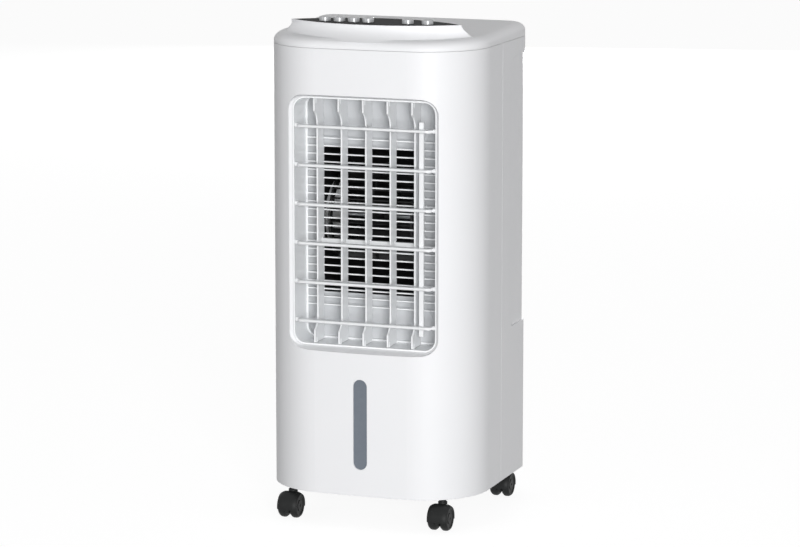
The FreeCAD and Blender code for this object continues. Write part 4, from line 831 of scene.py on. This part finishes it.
for end in ("front", "rear"):
    left = model_hood(end + "_left")
    shift = joint_place[f"caster_{end}_right_swivel"] - joint_place[f"caster_{end}_left_swivel"]
    right = copied(left, f"hood_{end}_right", shift)
    for side, hood in (("left", left), ("right", right)):
        finished(hood, "caster_black", f"caster_{end}_{side}", f"caster_hood_{end}_{side}", 40.0)

# %% [markdown]
# ## Cooling pad
# The pad is a stack of corrugated paper sheets whose waves meet crest to crest, so that air passes through a
# honeycomb of wet channels. One sheet is a grid whose rows are moved along a wave; a second sheet waves the other
# way; array and solidify modifiers then make the stack with real paper thickness.

# %% Corrugated sheets
WAVE = 14.0 * MM
SHEET_GAP = 7.0 * MM
WAVE_STEPS = 8
PAPER = 0.35 * MM
PAD_AIR = 0.5 * MM


def model_pad():
    """Corrugated sheets that fill the pad's box."""
    low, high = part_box("cooling_pad")
    tall = high.z - low.z - 2 * PAD_AIR
    rows = int((high.z - low.z) / WAVE * WAVE_STEPS)
    step = tall / rows
    sheets = []
    count = int((high.x - low.x) / SHEET_GAP) - 1
    first_x = (low.x + high.x) / 2 - (count - 1) / 2 * SHEET_GAP
    for turn in (0, 1):
        clear_selection()
        bpy.ops.mesh.primitive_grid_add(x_subdivisions=rows, y_subdivisions=1, size=1.0,
                                        rotation=(0, math.pi / 2, 0))
        bpy.ops.object.transform_apply(rotation=True)
        bpy.ops.object.mode_set(mode="EDIT")
        bpy.ops.transform.resize(value=(1, high.y - low.y - 2 * PAD_AIR, tall), center_override=(0, 0, 0))
        bpy.ops.transform.translate(value=(first_x + turn * SHEET_GAP, (low.y + high.y) / 2, (low.z + high.z) / 2))
        for phase in range(WAVE_STEPS):
            swing = (SHEET_GAP - PAPER) / 2 * math.sin(2 * math.pi * phase / WAVE_STEPS) * (1 - 2 * turn)
            choose("VERT", lambda place, normal: round((place.z - low.z - PAD_AIR) / step) % WAVE_STEPS == phase)
            bpy.ops.transform.translate(value=(swing, 0, 0))
        item = bpy.context.object
        applied(item, "ARRAY", count=(count + 1 - turn) // 2, use_relative_offset=False, use_constant_offset=True,
                constant_offset_displace=(2 * SHEET_GAP, 0, 0))
        sheets.append(applied(item, "SOLIDIFY", thickness=PAPER, offset=0.0))
    joined(*sheets)
    return settle("corrugated_pad")


finished(model_pad(), "pad_paper", "cartridge", "cooling_pad", 50.0)

# %% [markdown]
# ## Dust filter
# The filter is an open nylon net in a thin rim. The real net is finer than an eye can part at arm's length, so its
# mesh is drawn at four and a half millimetres. A grid through the Wireframe modifier makes the threads, and an
# inset plane with its middle removed makes the rim.

# %% Net and rim
NET_CELL = 4.5 * MM
NET_THREAD = 0.7 * MM
NET_IN = 1.0 * MM
FILTER_RIM = 5.0 * MM
RIM_THICKNESS = 0.9


def upright_grid(low, high, across, up):
    """A grid that stands in the xz plane and fills a box seen from the front, in edit mode."""
    clear_selection()
    bpy.ops.mesh.primitive_grid_add(x_subdivisions=across, y_subdivisions=up, size=1.0, rotation=(math.pi / 2, 0, 0))
    bpy.ops.object.transform_apply(rotation=True)
    bpy.ops.object.mode_set(mode="EDIT")
    bpy.ops.transform.resize(value=(high.x - low.x, 1, high.z - low.z), center_override=(0, 0, 0))
    bpy.ops.transform.translate(value=(low + high) / 2)
    return bpy.context.object


def model_filter():
    """The net and its rim as one piece."""
    low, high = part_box("dust_filter")
    inwards = Vector((NET_IN, 0, NET_IN))
    net = upright_grid(low + inwards, high - inwards, int((high.x - low.x) / NET_CELL),
                       int((high.z - low.z) / NET_CELL))
    applied(net, "WIREFRAME", thickness=NET_THREAD, use_even_offset=False, use_boundary=True)
    rim = upright_grid(low, high, 1, 1)
    choose("FACE", lambda place, normal: True)
    bpy.ops.mesh.inset(thickness=FILTER_RIM)
    bpy.ops.mesh.delete(type="FACE")
    applied(rim, "SOLIDIFY", thickness=(high.y - low.y) * RIM_THICKNESS, offset=0.0)
    joined(net, rim)
    bpy.ops.object.mode_set(mode="EDIT")
    face_outwards()
    return settle("filter_net")


finished(model_filter(), "filter_mesh", "cartridge", "dust_filter")

# %% [markdown]
# ## Level marks
# Two slim ridges cross the water window, at its full and its empty level. Each starts as a cylinder lying across
# the window, flattened against it and rounded off at its ends.

# %% Two ridges
MARK_SHARES = {"mark_empty": 0.095, "mark_full": 0.897}
MARK_HALF, MARK_RADIUS = 7.2 * MM, 0.55 * MM
MARK_RISE, MARK_FLATNESS = 0.15 * MM, 0.4
MARK_END, MARK_FALL = 0.6, 0.5
MARK_CUTS, MARK_SIDES = 5, 16
WINDOW_END = 3.0 * MM


def model_mark(share, name):
    """A ridge across the window at a share of its height, from the bottom."""
    low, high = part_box("window_lens")
    level = low.z + WINDOW_END + share * (high.z - low.z - 2 * WINDOW_END)
    middle = Vector(((low.x + high.x) / 2, low.y + MARK_RISE, level))
    mark = lying_rod(middle, MARK_RADIUS, MARK_HALF, MARK_CUTS, MARK_SIDES)
    scale_rings(mark, middle, MARK_HALF, lambda along: rounding(abs(along), MARK_END, MARK_FALL))
    bpy.ops.mesh.select_all(action="SELECT")
    bpy.ops.transform.resize(value=(1, MARK_FLATNESS, 1), center_override=middle)
    return settle(name)


for name, share in MARK_SHARES.items():
    finished(model_mark(share, name), "window_clear", "chassis", None)

# %% [markdown]
# ## Studio
# A white sweep with soft light: a large lamp low in front on the right, a much weaker one in front on the left, and
# a small one behind, low enough to leave the deck alone. The camera, glossy and clear surfaces see a white world,
# while the light it throws on the object stays low, so that white plastic keeps its shading.

# %% Floor and world
def world_light(ambient):
    """A white world for the camera and for reflections, and a dimmer one for the light it gives."""
    world = bpy.data.worlds.new("studio")
    world.use_nodes = True
    bpy.context.scene.world = world
    world.node_tree.nodes.clear()
    path = add(world, "LightPath")
    seen = add(world, "Math", {"operation": "MAXIMUM"}, _0=path.outputs["Is Camera Ray"],
               _1=path.outputs["Is Glossy Ray"])
    seen = add(world, "Math", {"operation": "MAXIMUM"}, _0=seen.outputs[0], _1=path.outputs["Is Transmission Ray"])
    strength = add(world, "MapRange", {"To Min": ambient, "To Max": 1.0}, Value=seen.outputs[0])
    sky = add(world, "Background", {"Color": (1, 1, 1, 1)}, Strength=strength.outputs[0])
    add(world, "OutputWorld", Surface=sky.outputs[0])


WORLD_GLOW, FLOOR_GLOW = 0.3, 0.9
FLOOR_SIZE = 14.0

world_light(WORLD_GLOW)
clear_selection()
bpy.ops.mesh.primitive_grid_add(x_subdivisions=8, y_subdivisions=8, size=FLOOR_SIZE, location=(0, 0, 0))
floor = settle("floor")
paper = bpy.data.materials.new("backdrop_paper")
paper.use_nodes = True
paper.node_tree.nodes.clear()
paper_place = add(paper, "TexCoord").outputs["Object"]
paper_grain = add(paper, "TexNoise", {"Scale": 400.0}, Vector=paper_place)
paper_bump = relief(paper, paper_grain.outputs[0], 0.1, 0.05)
paper_lit = add(paper, "BsdfDiffuse", {"Color": linear("#7E7E7E")}, Normal=paper_bump)
paper_path = add(paper, "LightPath")
paper_seen = add(paper, "Math", {"operation": "MAXIMUM"}, _0=paper_path.outputs["Is Camera Ray"],
                 _1=paper_path.outputs["Is Glossy Ray"])
paper_glow = add(paper, "MapRange", {"To Max": FLOOR_GLOW}, Value=paper_seen.outputs[0])
paper_white = add(paper, "Emission", {"Color": (1, 1, 1, 1)}, Strength=paper_glow.outputs[0])
paper_both = add(paper, "AddShader", _0=paper_lit.outputs[0], _1=paper_white.outputs[0])
add(paper, "OutputMaterial", Surface=paper_both.outputs[0])
floor.data.materials.append(paper)
print("floor", [round(v, 1) for v in floor.dimensions])


# %% Lamps
def lamp(name, place, target, size, power):
    """A square area lamp that faces a target."""
    data = bpy.data.lights.new(name, "AREA")
    data.size = size
    data.energy = power
    item = bpy.data.objects.new(name, data)
    item.location = place
    item.rotation_euler = (Vector(target) - Vector(place)).to_track_quat("-Z", "Y").to_euler()
    bpy.context.scene.collection.objects.link(item)
    print(name, "lamp", power, "W")


MIDDLE = (0.0, 0.0, 0.3)
lamp("key", (2.2, -4.5, 0.75), MIDDLE, 1.6, 206.0)
lamp("fill", (-2.4, -4.4, 0.9), MIDDLE, 1.6, 14.0)
lamp("back", (-1.2, 4.6, 0.28), MIDDLE, 0.4, 70.0)
